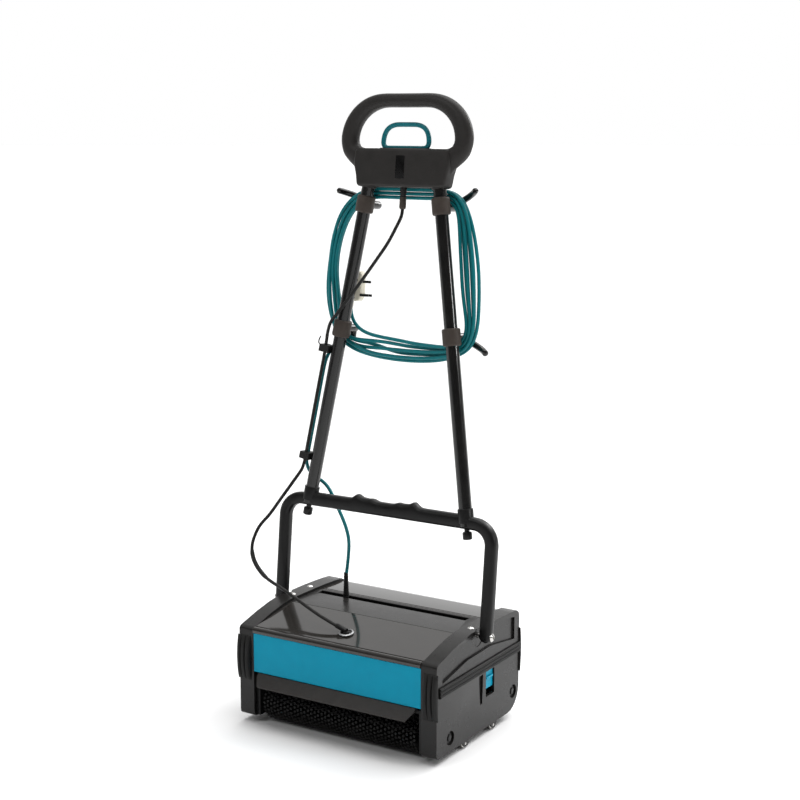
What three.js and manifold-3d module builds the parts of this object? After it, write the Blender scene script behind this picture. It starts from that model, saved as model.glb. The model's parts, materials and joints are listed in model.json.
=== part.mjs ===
// Twin-brush carpet and floor cleaner, standing with its handle parked almost upright.
// Millimetres. +Z up, +X to the machine's right seen from the front, the front face looks to -Y.
// The origin is on the floor under the centre of the base.

import * as THREE from "three";
import { mergeVertices } from "three/addons/utils/BufferGeometryUtils.js";
import Module from "manifold-3d";

const wasm = await Module();
wasm.setup();

// ---------------------------------------------------------------- driving dimensions
const BASE_WIDTH = 440; // across the outer faces of the side casings
const BASE_DEPTH = 316; // front face to rear face
const TOP_HEIGHT = 217; // crown of the side casings
const GROUND_GAP = 14; // floor to the casings' lower edge
const FRONT_HEIGHT = TOP_HEIGHT - 26; // top edge at the front
const REAR_HEIGHT = TOP_HEIGHT - 12; // top edge at the rear, under its round corner
const COVER_HEIGHT = TOP_HEIGHT - 5; // centre cover and the lids' inner edges
const CASING_WIDTH = 33; // each side casing
const CASING_WALL = 7;
const REAR_CORNER = 45; // radius of the casings' lower rear corner
const PART_GAP = 0.3; // between pieces that touch

const BRUSH_RADIUS = 43; // over the bristles
const BRUSH_CORE_RADIUS = 22;
const BRUSH_END_GAP = 6.7; // bristles to the side plates
const BRUSH_INSET = BRUSH_RADIUS + 7; // brush axis behind the front or rear face
const AXLE_RADIUS = 6;
const SMALL_AXLE = 5; // the drum's, the reversing gear's and the hinge screws'
const BEARING_RADIUS = 12;
const RUN_GAP = 0.4; // radial clearance of what turns
const DRUM_RADIUS = 28;
const DRUM_HEIGHT = 36;

const DECK_BOTTOM = 2 * BRUSH_RADIUS + 6; // chassis deck
const DECK_THICKNESS = 6;
const DECK_TOP = DECK_BOTTOM + DECK_THICKNESS;
const SIDE_PLATE = 8; // chassis side plates, which hold the bearings

const PANEL_BOTTOM = DECK_TOP + 7; // lower edge of the tanks' coloured faces
const PANEL_TOP = FRONT_HEIGHT - 9;
const TANK_WALL = 3;
const CENTRE_FRONT = -34; // front edge of the centre cover
const CENTRE_REAR = 62; // rear edge of the centre cover
const SLOT_FRONT = 42; // the long slot in the centre cover
const SLOT_WIDTH = 16;
const SLOT_DEPTH = 12;
const SLOT_FLOOR = 3;
const COVER_PLATE = 5;

const MOTOR_FLOOR = DECK_TOP + 7; // under the motor
const MOTOR_CEILING = COVER_HEIGHT - SLOT_DEPTH - SLOT_FLOOR - 12; // over it
const MOTOR_HEIGHT = (MOTOR_CEILING + MOTOR_FLOOR) / 2;
const MOTOR_LENGTH = 220;
const MOTOR_Y = 5;
const TANK_SETBACK = 3; // front tank's rear wall from the centre cover's front edge
const MOTOR_SIDE_GAP = 2;
const MOTOR_RADIUS = Math.min(
  (MOTOR_CEILING - MOTOR_FLOOR) / 2,
  MOTOR_Y - CENTRE_FRONT + TANK_SETBACK - MOTOR_SIDE_GAP,
);
const SMALL_PULLEY = 10;
const LARGE_PULLEY = 18;
const BELT_THICKNESS = 2.5;
const BELT_WIDTH = (CASING_WIDTH - CASING_WALL - 10) / 2; // two rows of drive in a side casing
const ROW_GAP = 1.5; // between the rows, and from the chassis to the inner row
const GEAR_TEETH = 16;
const GEAR_RADIUS = 16; // pitch radius of the pinion and the reversing gear
const TOOTH_HEIGHT = 1.6; // above and below the pitch circle

const ROLLER_RADIUS = 9;
const ROLLER_WIDTH = 11;
const ROLLER_Y = [-50, 58];
const ROLLER_PIN = 3;

const PIVOT_HEIGHT = TOP_HEIGHT - 13; // the handle's hinge line above the floor
const LEAN = THREE.MathUtils.degToRad(6); // the handle leans back by this much when parked
const YOKE_BAR = 24; // width of the yoke's arms
const YOKE_DEPTH = 22;
const YOKE_TOP = 218.5; // top of the cross bar, along the handle from the hinge line
const YOKE_BAR_HEIGHT = 27;
const YOKE_CORNER = 50; // outer corner radius
const YOKE_GAP = 1; // between an arm and the casing
const GRIP_BUMP = 9; // depth of the finger bumps under the cross bar

const TUBE_RADIUS = 12.7;
const TUBE_WALL = 1.5;
const SOCKET_RADIUS = TUBE_RADIUS + 2.3;
const SOCKET_TOP = YOKE_TOP + 14.5;

const GRIP_TOP = 996.6; // upper end of the handle
const GRIP_HALF_WIDTH = 143;
const GRIP_THICKNESS = 27;
const POD_BOTTOM = GRIP_TOP - 174.9; // underside of the control pod
const POD_TOP = GRIP_TOP - 102.6;
const POD_THICKNESS = 36;
const SWITCH_BAR = 9; // section of the switch loop
const SWITCH_PIVOT = POD_TOP - 12;
const SWITCH_HALF_WIDTH = 54.5;
const SWITCH_TOP = POD_TOP + 50;
const SWITCH_BOTTOM = POD_TOP - 3;

const TUBE_FOOT = YOKE_TOP - 13.5; // along the handle
const TUBE_TOP = POD_BOTTOM + 28.3;
const TUBE_TOP_X = 0.518 * GRIP_HALF_WIDTH; // tube axis at its upper end

const CLAMP_RADIUS = TUBE_RADIUS + 4.8;
const CLAMP_LENGTH = 33;
const UPPER_CLAMP = POD_BOTTOM - 32.7; // along the handle
const LOWER_CLAMP = UPPER_CLAMP - 241;
const HOOK_RADIUS = 6.5;
const HOOK_BOSS = 8; // radius of the stub behind each clamp
const COIL_FRONT = CLAMP_RADIUS + 1; // behind the tubes' axes
const COIL_DEPTH = 15;
const HOOK_GAP = 2; // coil to the hooks' arms

const MAINS_RADIUS = 3.5;
const LEAD_RADIUS = 3.25;
const UPPER_CLIP = LOWER_CLAMP - 45;
const LOWER_CLIP = YOKE_TOP + 70.5;
const GLAND_END = POD_BOTTOM - 40.2; // lower end of the lead's gland, along the handle
const CLIP_LENGTH = 14;

const HALF_W = BASE_WIDTH / 2;
const HALF_D = BASE_DEPTH / 2;
const INNER_X = HALF_W - CASING_WIDTH; // inner face of each side casing
const FILL_X = INNER_X - PART_GAP; // half width of what sits between the casings
const BRUSH_Y = HALF_D - BRUSH_INSET;
const YOKE_INNER = HALF_W + YOKE_GAP;
const YOKE_OUTER = YOKE_INNER + YOKE_BAR;
const YOKE_BAR_BOTTOM = YOKE_TOP - YOKE_BAR_HEIGHT;
const TUBE_FOOT_X = YOKE_INNER - 43.7; // tube axis at the cross bar
const TUBE_SLOPE = (TUBE_FOOT_X - TUBE_TOP_X) / (TUBE_TOP - TUBE_FOOT);
const TUBE_ANGLE = Math.atan(TUBE_SLOPE);
const BRUSH_LENGTH = 2 * (FILL_X - SIDE_PLATE - BRUSH_END_GAP);

// ---------------------------------------------------------------- materials
const finish = (color, roughness, metalness = 0) => () =>
  new THREE.MeshStandardMaterial({ color, roughness, metalness });
const charcoal = finish(0x34312f, 0.55);
const satinBlack = finish(0x1b1b1c, 0.5);
const smokeGloss = finish(0x4a4744, 0.15);
const teal = finish(0x0088a8, 0.4);
const cordTeal = finish(0x007a80, 0.5);
const clampBrown = finish(0x4a423c, 0.6);
const tubeBlack = finish(0x0e0e0f, 0.2, 0.4);
const rubberBlack = finish(0x161616, 0.8);
const bristleBlack = finish(0x0c0c0c, 0.9);
const steel = finish(0xb9bbbd, 0.3, 1);
const aluminium = finish(0x9c9fa2, 0.4, 1);
const lipGrey = finish(0x55524f, 0.4);
const ivory = finish(0xe4dfcf, 0.5);

// ---------------------------------------------------------------- solids and booleans
function toSolid(geometry) {
  const bare = geometry.index ? geometry.toNonIndexed() : geometry.clone();
  bare.deleteAttribute("normal");
  bare.deleteAttribute("uv");
  const merged = mergeVertices(bare, 1e-4);
  return new wasm.Manifold(
    new wasm.Mesh({
      numProp: 3,
      vertProperties: new Float32Array(merged.attributes.position.array),
      triVerts: new Uint32Array(merged.index.array),
    }),
  );
}

function toGeometry(solid) {
  const mesh = solid.getMesh();
  return new THREE.BufferGeometry()
    .setAttribute("position", new THREE.BufferAttribute(mesh.vertProperties, 3))
    .setIndex(new THREE.BufferAttribute(mesh.triVerts, 1));
}

function join(first, ...others) {
  return toGeometry(others.reduce((sum, piece) => sum.add(toSolid(piece)), toSolid(first)));
}

function cut(body, ...tools) {
  return toGeometry(tools.reduce((rest, tool) => rest.subtract(toSolid(tool)), toSolid(body)));
}

// ---------------------------------------------------------------- shape helpers
// A box given by its low and high corners.
function block(low, high) {
  const size = high.map((value, i) => value - low[i]);
  const centre = high.map((value, i) => (value + low[i]) / 2);
  return new THREE.BoxGeometry(...size).translate(...centre);
}

// Turns a geometry's own z axis to the world X axis, its x to Y and its y to Z.
function alongX(geometry) {
  const turn = new THREE.Matrix4().set(0, 0, 1, 0, 1, 0, 0, 0, 0, 1, 0, 0, 0, 0, 0, 1);
  return geometry.applyMatrix4(turn);
}

// The outline's points, counter-clockwise, without those that fall on the one before.
function outlinePoints(path, segments) {
  const all = path.getPoints(segments);
  const points = all.filter((p, i) => p.distanceTo(all[(i + all.length - 1) % all.length]) > 1e-3);
  return THREE.ShapeUtils.isClockWise(points) ? points.reverse() : points;
}

const CURVE_STEPS = 3; // an arc gets twice as many

function extrude(shape, depth, options = {}, curveSteps = CURVE_STEPS) {
  const outline = new THREE.Shape(outlinePoints(shape, curveSteps));
  outline.holes = (shape.holes ?? []).map((hole) => new THREE.Path(outlinePoints(hole, curveSteps)));
  return new THREE.ExtrudeGeometry(outline, { depth, bevelEnabled: false, ...options });
}

// A side-view outline in (y, z), extruded across the machine from x0 to x1.
function sideExtrusion(shape, x0, x1, curveSteps = CURVE_STEPS) {
  return alongX(extrude(shape, x1 - x0, {}, curveSteps)).translate(x0, 0, 0);
}

// A front-view outline in (x, z), extruded from y0 to y1, with an optional rounded edge.
function frontExtrusion(shape, y0, y1, edge = 0) {
  const bevel = {
    bevelEnabled: true,
    bevelThickness: edge,
    bevelSize: edge,
    bevelOffset: -edge,
    bevelSegments: edge > 4 ? 2 : 1,
  };
  const solid = extrude(shape, y1 - y0 - 2 * edge, edge > 0 ? bevel : {});
  return solid.translate(0, 0, edge).rotateX(Math.PI / 2).translate(0, y1, 0);
}

function polygon(points) {
  return new THREE.Shape(points.map(([a, b]) => new THREE.Vector2(a, b)));
}

// A turned piece: profile points are (radius, height) from one end of the axis to the other.
function turned(profile, segments = 20) {
  const points = profile.map(([r, h]) => new THREE.Vector2(r, h));
  return new THREE.LatheGeometry(points, segments);
}

// The same about an axis along X through (y, z), heights becoming x.
function turnedX(profile, y, z, segments = 20) {
  return turned(profile, segments).rotateZ(-Math.PI / 2).translate(0, y, z);
}

function rodX(radius, x0, x1, y, z, segments = 20) {
  return turnedX([[0, x0], [radius, x0], [radius, x1], [0, x1]], y, z, segments);
}

function ringX(inner, outer, x0, x1, y, z) {
  return turnedX([[inner, x0], [outer, x0], [outer, x1], [inner, x1], [inner, x0]], y, z);
}

// A round bar or cord along a smooth curve through the given points.
function sweep(points, radius, steps, sides = 8) {
  const curve = new THREE.CatmullRomCurve3(points.map((p) => new THREE.Vector3(...p)), false, "centripetal");
  const section = new THREE.Shape();
  for (let i = 0; i < sides; i += 1) {
    const angle = (2 * Math.PI * i) / sides;
    const move = i === 0 ? "moveTo" : "lineTo";
    section[move](radius * Math.cos(angle), radius * Math.sin(angle));
  }
  return new THREE.ExtrudeGeometry(section, { steps, bevelEnabled: false, extrudePath: curve });
}

const base = new THREE.Group();
const handle = new THREE.Group();
handle.position.set(0, 0, PIVOT_HEIGHT);
handle.rotation.x = -LEAN;

function place(group, name, geometry, material) {
  const mesh = new THREE.Mesh(geometry, material());
  mesh.name = name;
  group.add(mesh);
  return mesh;
}

const SIDES = { left: -1, right: 1 };

// A piece drawn for the right-hand side, mirrored for the left with its faces still outward.
function onSide(geometry, side) {
  return side > 0 ? geometry : toGeometry(toSolid(geometry).mirror([1, 0, 0]));
}

// A piece drawn for the front, mirrored to the rear.
function onEnd(geometry, end) {
  return end < 0 ? geometry : toGeometry(toSolid(geometry).mirror([0, 1, 0]));
}

// ---------------------------------------------------------------- side casings
// Side view of a casing: upright front, arched top, round rear corners; inset shrinks it evenly.
function casingOutline(inset) {
  const front = -HALF_D + inset;
  const rear = HALF_D - inset;
  const bottom = GROUND_GAP + inset;
  const corner = REAR_CORNER - inset;
  const outline = new THREE.Shape();
  outline.moveTo(front, bottom + 9);
  outline.lineTo(front, FRONT_HEIGHT - 6 - inset);
  outline.quadraticCurveTo(front, FRONT_HEIGHT - inset, front + 9, FRONT_HEIGHT + 2 - inset);
  outline.quadraticCurveTo(-0.45 * HALF_D, TOP_HEIGHT - 2 - inset, -0.2 * HALF_D, TOP_HEIGHT - inset);
  outline.lineTo(0.33 * HALF_D, TOP_HEIGHT - inset);
  outline.quadraticCurveTo(0.75 * HALF_D, TOP_HEIGHT - 1 - inset, rear - 12, REAR_HEIGHT + 8 - inset);
  outline.quadraticCurveTo(rear, REAR_HEIGHT + 4 - inset, rear, REAR_HEIGHT - 6 - inset);
  outline.lineTo(rear, bottom + corner);
  outline.absarc(rear - corner, bottom + corner, corner, 0, -Math.PI / 2, true);
  outline.lineTo(front + 9, bottom);
  outline.quadraticCurveTo(front, bottom, front, bottom + 9);
  return outline;
}

// The shallow panel between the arched ledge and the top edge.
function archedRecess() {
  const end = HALF_D - 20;
  const outline = new THREE.Shape();
  outline.moveTo(-end, FRONT_HEIGHT - 39);
  outline.quadraticCurveTo(0, TOP_HEIGHT - 27, end, REAR_HEIGHT - 47);
  outline.lineTo(end, REAR_HEIGHT - 3);
  outline.quadraticCurveTo(0.7 * HALF_D, TOP_HEIGHT - 9, 0.3 * HALF_D, TOP_HEIGHT - 8);
  outline.lineTo(-0.2 * HALF_D, TOP_HEIGHT - 8);
  outline.quadraticCurveTo(-0.5 * HALF_D, TOP_HEIGHT - 12, -end, FRONT_HEIGHT - 3);
  return outline;
}

const BUMPER_BOTTOM = FRONT_HEIGHT - 63;
const WINDOW = { front: 25, rear: 58, bottom: BUMPER_BOTTOM - 53, top: BUMPER_BOTTOM - 3 };
const SLOT_ENDS = [BUMPER_BOTTOM - 4, BUMPER_BOTTOM - 61]; // top and bottom of the finger slot
const FINGER_SLOT = [[-3, SLOT_ENDS[0]], [14, SLOT_ENDS[0]], [11, SLOT_ENDS[1]], [3, SLOT_ENDS[1]]];
const PORTS = [[-BRUSH_Y, 40], [HALF_D - 23, 52]]; // (y, z) of the round screw ports
const PORT_RADIUS = 13.5;
const RECESS = 4; // depth of the arched panel and of the finger slot
const PIVOT_RECESS = 5;
const PIVOT_RECESS_RADIUS = 20;
const EAR_WALL = 2;
const EAR_FACE = HALF_W - 0.2; // outer face of the rollers' ears
const ROLLER_SIDE_GAP = 0.5; // roller to each ear
const THROUGH = 1; // how far a cutting tool passes the face it opens

// A pair of ears under the casing that carries one support roller.
function rollerEars(y) {
  const ear = new THREE.Shape();
  ear.moveTo(-12, GROUND_GAP + 4);
  ear.lineTo(-12, GROUND_GAP);
  ear.quadraticCurveTo(-9, 3, 0, 3);
  ear.quadraticCurveTo(9, 3, 12, GROUND_GAP);
  ear.lineTo(12, GROUND_GAP + 4);
  const inner = EAR_FACE - 2 * EAR_WALL - 2 * ROLLER_SIDE_GAP - ROLLER_WIDTH;
  return [EAR_FACE - EAR_WALL, inner].map((x) => sideExtrusion(ear, x, x + EAR_WALL).translate(0, y, 0));
}

function sideCasing() {
  let shell = sideExtrusion(casingOutline(0), INNER_X, HALF_W);
  shell = join(shell, ...ROLLER_Y.flatMap(rollerEars));
  const inside = HALF_W - CASING_WALL;
  const past = HALF_W + THROUGH;
  const hollow = sideExtrusion(casingOutline(CASING_WALL), INNER_X - THROUGH, inside);
  const recess = sideExtrusion(archedRecess(), HALF_W - RECESS, past);
  const pivotRecess = rodX(PIVOT_RECESS_RADIUS, HALF_W - PIVOT_RECESS, past, 0, PIVOT_HEIGHT - 2);
  const pivotHole = rodX(SMALL_AXLE + RUN_GAP, inside - THROUGH, past, 0, PIVOT_HEIGHT);
  const window = block(
    [inside - THROUGH, WINDOW.front, WINDOW.bottom],
    [past, WINDOW.rear, WINDOW.top],
  );
  const slot = sideExtrusion(polygon(FINGER_SLOT), HALF_W - RECESS, past);
  const ports = PORTS.map(([y, z]) => rodX(PORT_RADIUS, HALF_W - PIVOT_RECESS, past, y, z));
  const pinHole = ROLLER_PIN + RUN_GAP;
  const rollerHoles = ROLLER_Y.map((y) => rodX(pinHole, INNER_X + THROUGH, past, y, ROLLER_RADIUS, 12));
  const reach = ROLLER_RADIUS + THROUGH;
  const wellRear = EAR_FACE - EAR_WALL - 0.2;
  const wheelWells = ROLLER_Y.map((y) =>
    block([wellRear - ROLLER_WIDTH - 0.6, y - reach, 0], [wellRear, y + reach, ROLLER_RADIUS + reach]),
  );
  const openings = [window, slot, ...ports, ...rollerHoles, ...wheelWells];
  return cut(shell, hollow, recess, pivotRecess, pivotHole, ...openings);
}

// A teal push catch in the window of a side casing.
function sideLatch() {
  const gap = 1;
  const face = block(
    [HALF_W - 8, WINDOW.front + gap, WINDOW.bottom + 14],
    [HALF_W - 3.5, WINDOW.rear - gap, WINDOW.top - gap],
  );
  const ridge = block(
    [HALF_W - 4, WINDOW.front + 4, WINDOW.top - 16],
    [HALF_W - 0.5, WINDOW.rear - 4, WINDOW.top - 12],
  );
  return join(face, ridge);
}

// A bulging rubber pad with three upright ribs on a front corner.
function cornerPad() {
  const bottom = PANEL_BOTTOM - 18;
  const height = PANEL_TOP - 7 - bottom;
  const face = -HALF_D - PART_GAP;
  const outline = new THREE.Shape();
  outline.moveTo(face, bottom);
  outline.lineTo(face - 5, bottom + 3);
  outline.quadraticCurveTo(face - 15, bottom + height / 2, face - 5, bottom + height - 3);
  outline.lineTo(face, bottom + height);
  const inner = HALF_W - 27;
  const outer = HALF_W + 3;
  const pad = sideExtrusion(outline, inner, outer);
  const grooves = [1, 2].map((i) => {
    const x = inner + ((outer - inner) * i) / 3;
    return block([x - 1.2, face - 20, bottom - 1], [x + 1.2, face - 6.5, bottom + height + 1]);
  });
  return cut(pad, ...grooves);
}

// A ribbed rub strip along a side casing.
function sideBumper() {
  const strip = new THREE.Shape();
  const x = HALF_W + PART_GAP;
  strip.moveTo(x, BUMPER_BOTTOM);
  for (let rib = 0; rib < 3; rib += 1) {
    const z = BUMPER_BOTTOM + rib * 6.7;
    strip.lineTo(x + 2.4, z);
    strip.lineTo(x + 4.2, z + 1.6);
    strip.lineTo(x + 4.2, z + 4.6);
    strip.lineTo(x + 2.4, z + 6);
  }
  strip.lineTo(x, BUMPER_BOTTOM + 19.4);
  return frontExtrusion(strip, -HALF_D + 8, HALF_D - 1);
}

// ---------------------------------------------------------------- tanks, lids and lips
const FRONT_TANK = [
  [-HALF_D, PANEL_BOTTOM],
  [CENTRE_FRONT - TANK_SETBACK, PANEL_BOTTOM],
  [CENTRE_FRONT - TANK_SETBACK, COVER_HEIGHT - 5.5],
  [-HALF_D + 3.6, PANEL_TOP + 4],
  [-HALF_D + 3.6, PANEL_TOP - PART_GAP],
  [-HALF_D, PANEL_TOP - PART_GAP],
];
const FRONT_LID = [
  [-HALF_D - 1.5, PANEL_TOP],
  [-HALF_D + 3.3, PANEL_TOP],
  [-HALF_D + 3.3, PANEL_TOP + 4.8],
  [CENTRE_FRONT - PART_GAP, COVER_HEIGHT - 4.3],
  [CENTRE_FRONT - PART_GAP, COVER_HEIGHT],
  [-HALF_D + 3, FRONT_HEIGHT + 1.5],
  [-HALF_D - 1.5, FRONT_HEIGHT],
  [-HALF_D - 3, FRONT_HEIGHT - 4],
];
const REAR_TANK = [
  [CENTRE_REAR + 2, PANEL_BOTTOM],
  [HALF_D, PANEL_BOTTOM],
  [HALF_D, PANEL_TOP + 3.7],
  [HALF_D - 3.6, PANEL_TOP + 3.7],
  [HALF_D - 3.6, REAR_HEIGHT - 11],
  [HALF_D - 9, REAR_HEIGHT - 4.5],
  [HALF_D - 25, COVER_HEIGHT - 7],
  [CENTRE_REAR + 2, COVER_HEIGHT - 4.8],
];
const REAR_LID = [
  [CENTRE_REAR + PART_GAP, COVER_HEIGHT - 4.3],
  [HALF_D - 24, COVER_HEIGHT - 6.4],
  [HALF_D - 8, REAR_HEIGHT - 4],
  [HALF_D - 3.2, REAR_HEIGHT - 10.6],
  [HALF_D - 3.2, PANEL_TOP + 4],
  [HALF_D + 1.5, PANEL_TOP + 4],
  [HALF_D + 3, REAR_HEIGHT - 13],
  [HALF_D + 1.5, REAR_HEIGHT - 5],
  [HALF_D - 6, REAR_HEIGHT + 2],
  [HALF_D - 23, COVER_HEIGHT - 2],
  [CENTRE_REAR + PART_GAP, COVER_HEIGHT],
];

function tank(profile) {
  const ys = profile.map(([y]) => y);
  const front = Math.min(...ys) + 2 * TANK_WALL;
  const rear = Math.max(...ys) - 2 * TANK_WALL;
  const hollow = block(
    [-FILL_X + TANK_WALL, front, PANEL_BOTTOM + TANK_WALL],
    [FILL_X - TANK_WALL, rear, TOP_HEIGHT],
  );
  return cut(sideExtrusion(polygon(profile), -FILL_X, FILL_X), hollow);
}

// The spray lip under a tank: a sloping plate whose ends are chamfered.
function sprayLip() {
  const face = -HALF_D;
  const profile = [
    [face + 9, PANEL_BOTTOM - 1],
    [face + 9, PANEL_BOTTOM - 6],
    [face + 3, PANEL_BOTTOM - 7],
    [face - 17, PANEL_BOTTOM - 24],
    [face - 20, PANEL_BOTTOM - 22],
    [face - 20, PANEL_BOTTOM - 20],
    [face - 1, PANEL_BOTTOM - 1],
  ];
  const half = FILL_X - 11;
  const plate = sideExtrusion(polygon(profile), -half, half);
  const corner = polygon([
    [half - 14, PANEL_BOTTOM - 26],
    [half + 1, PANEL_BOTTOM - 5],
    [half + 1, PANEL_BOTTOM - 26],
  ]);
  const trim = frontExtrusion(corner, face - 25, face + 5);
  return cut(plate, trim, onSide(trim, -1));
}

// The fixed cover between the lids, with its long slot, whose floor carries the mains gland.
function centreCover() {
  const bottom = COVER_HEIGHT - COVER_PLATE;
  const plate = block([-FILL_X, CENTRE_FRONT, bottom], [FILL_X, CENTRE_REAR, COVER_HEIGHT]);
  const tray = block(
    [-FILL_X + 5, SLOT_FRONT - 4, COVER_HEIGHT - SLOT_DEPTH - SLOT_FLOOR],
    [FILL_X - 5, SLOT_FRONT + SLOT_WIDTH + 3, bottom + THROUGH],
  );
  const slot = block(
    [-FILL_X + 12, SLOT_FRONT, COVER_HEIGHT - SLOT_DEPTH],
    [FILL_X - 22, SLOT_FRONT + SLOT_WIDTH, COVER_HEIGHT + THROUGH],
  );
  return cut(join(plate, tray), slot);
}

// ---------------------------------------------------------------- chassis, brushes and drive
const BRUSH_AXES = { front: [-BRUSH_Y, BRUSH_RADIUS], rear: [BRUSH_Y, BRUSH_RADIUS] };
const MOTOR_AXIS = [MOTOR_Y, MOTOR_HEIGHT];
const GEAR_DISTANCE = 2 * GEAR_RADIUS + 0.8;
const GEAR_DIRECTION = THREE.MathUtils.degToRad(-31);
const REVERSER_AXIS = [
  MOTOR_Y + GEAR_DISTANCE * Math.cos(GEAR_DIRECTION),
  MOTOR_HEIGHT + GEAR_DISTANCE * Math.sin(GEAR_DIRECTION),
];
const DRIVE_X = INNER_X + ROW_GAP; // inner face of the inner belt row
const OUTER_ROW_X = DRIVE_X + BELT_WIDTH + ROW_GAP;
const DRIVE_END = OUTER_ROW_X + BELT_WIDTH + 1;

function chassis() {
  const reach = HALF_D - 8;
  const deck = block([-FILL_X, -reach, DECK_BOTTOM], [FILL_X, reach, DECK_TOP]);
  const plates = [-FILL_X, FILL_X - SIDE_PLATE].map((x) =>
    block([x, -reach, GROUND_GAP + 2], [x + SIDE_PLATE, reach, DECK_BOTTOM + 1]),
  );
  const saddle = [-MOTOR_LENGTH / 2 + 20, MOTOR_LENGTH / 2 - 32].map((x) =>
    block([x, MOTOR_Y - 30, DECK_TOP - 1], [x + 12, MOTOR_Y + 30, MOTOR_HEIGHT - 18]),
  );
  const [gearY, gearZ] = REVERSER_AXIS;
  const bracket = block(
    [FILL_X - SIDE_PLATE, gearY - 11, DECK_TOP - 1],
    [FILL_X, gearY + 13, gearZ + 12],
  );
  const body = join(deck, ...plates, ...saddle, bracket);
  const bearingHoles = Object.values(BRUSH_AXES).map(([y, z]) =>
    rodX(BEARING_RADIUS + PART_GAP, -FILL_X - 1, FILL_X + 1, y, z),
  );
  const drumHole = rodX(SMALL_AXLE + RUN_GAP, -FILL_X - 1, FILL_X + 1, 0, DRUM_HEIGHT);
  const motorSeat = rodX(MOTOR_RADIUS + PART_GAP, -MOTOR_LENGTH, MOTOR_LENGTH, ...MOTOR_AXIS, 32);
  const gearHole = rodX(SMALL_AXLE + RUN_GAP, FILL_X - SIDE_PLATE - 1, FILL_X + 1, gearY, gearZ);
  return cut(body, ...bearingHoles, drumHole, motorSeat, gearHole);
}

// A brush core with its stub axles and, on its drive side, its belt pulley.
function brushCore(y, z, driveSide, pulleyX) {
  const half = BRUSH_LENGTH / 2;
  const profile = [
    [0, -FILL_X],
    [AXLE_RADIUS, -FILL_X],
    [AXLE_RADIUS, -half - 2],
    [BRUSH_CORE_RADIUS, -half - 2],
    [BRUSH_CORE_RADIUS, half + 2],
    [AXLE_RADIUS, half + 2],
    [AXLE_RADIUS, pulleyX],
    [LARGE_PULLEY, pulleyX],
    [LARGE_PULLEY, pulleyX + BELT_WIDTH],
    [0, pulleyX + BELT_WIDTH],
  ];
  return onSide(turnedX(profile, y, z), driveSide);
}

function bristleSleeve(y, z) {
  const half = BRUSH_LENGTH / 2;
  return ringX(BRUSH_CORE_RADIUS + PART_GAP, BRUSH_RADIUS, -half, half, y, z);
}

function bearing(y, z, side) {
  const inner = AXLE_RADIUS + RUN_GAP;
  const ring = ringX(inner, BEARING_RADIUS, FILL_X - SIDE_PLATE + 0.5, FILL_X - 0.5, y, z);
  return onSide(ring, side);
}

function pickupDrum() {
  const half = BRUSH_LENGTH / 2 - 2;
  const end = FILL_X;
  const profile = [
    [0, -end], [SMALL_AXLE, -end], [SMALL_AXLE, -half], [DRUM_RADIUS, -half],
    [DRUM_RADIUS, half], [SMALL_AXLE, half], [SMALL_AXLE, end], [0, end],
  ];
  return turnedX(profile, 0, DRUM_HEIGHT);
}

// A spur gear's outline about (y, z); turn sets where its first tooth stands.
function gearOutline(y, z, turn) {
  const pitch = (2 * Math.PI) / GEAR_TEETH;
  const outline = new THREE.Shape();
  for (let tooth = 0; tooth < GEAR_TEETH; tooth += 1) {
    const corners = [[-0.27, -1], [-0.13, 1], [0.13, 1], [0.27, -1]];
    corners.forEach(([share, level], i) => {
      const angle = turn + pitch * (tooth + share);
      const radius = GEAR_RADIUS + level * TOOTH_HEIGHT;
      const move = tooth === 0 && i === 0 ? "moveTo" : "lineTo";
      outline[move](y + radius * Math.cos(angle), z + radius * Math.sin(angle));
    });
  }
  return outline;
}

function motorShaft() {
  const end = DRIVE_END;
  const shaft = rodX(AXLE_RADIUS, -end, end, ...MOTOR_AXIS);
  const pulley = rodX(SMALL_PULLEY, -OUTER_ROW_X - BELT_WIDTH, -OUTER_ROW_X, ...MOTOR_AXIS);
  const pinionOutline = gearOutline(...MOTOR_AXIS, GEAR_DIRECTION);
  const pinion = sideExtrusion(pinionOutline, OUTER_ROW_X, OUTER_ROW_X + BELT_WIDTH);
  return join(shaft, pulley, pinion);
}

function reversingGear() {
  const [y, z] = REVERSER_AXIS;
  const facing = GEAR_DIRECTION + Math.PI + Math.PI / GEAR_TEETH;
  const gear = sideExtrusion(gearOutline(y, z, facing), OUTER_ROW_X, OUTER_ROW_X + BELT_WIDTH);
  const pulley = rodX(SMALL_PULLEY, DRIVE_X, DRIVE_X + BELT_WIDTH, y, z);
  const axle = rodX(SMALL_AXLE, FILL_X - SIDE_PLATE, DRIVE_END, y, z);
  return join(axle, gear, pulley);
}

// The outline round two circles: two arcs and the two straight runs between them.
function beltLoop(target, small, large, grow) {
  const [y1, z1] = small;
  const [y2, z2] = large;
  const r1 = SMALL_PULLEY + grow;
  const r2 = LARGE_PULLEY + grow;
  const heading = Math.atan2(z2 - z1, y2 - y1);
  const spread = Math.acos((r1 - r2) / Math.hypot(y2 - y1, z2 - z1));
  target.absarc(y1, z1, r1, heading + spread, heading - spread + 2 * Math.PI, false);
  target.absarc(y2, z2, r2, heading - spread, heading + spread, false);
  return target;
}

const BELT_MARGIN = 0.5; // a belt is narrower than its pulleys by this at each edge
const BELT_STEPS = 8;

function belt(small, large, x0) {
  const outline = beltLoop(new THREE.Shape(), small, large, PART_GAP + BELT_THICKNESS);
  outline.holes.push(beltLoop(new THREE.Path(), small, large, PART_GAP));
  return sideExtrusion(outline, x0 + BELT_MARGIN, x0 + BELT_WIDTH - BELT_MARGIN, BELT_STEPS);
}

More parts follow.
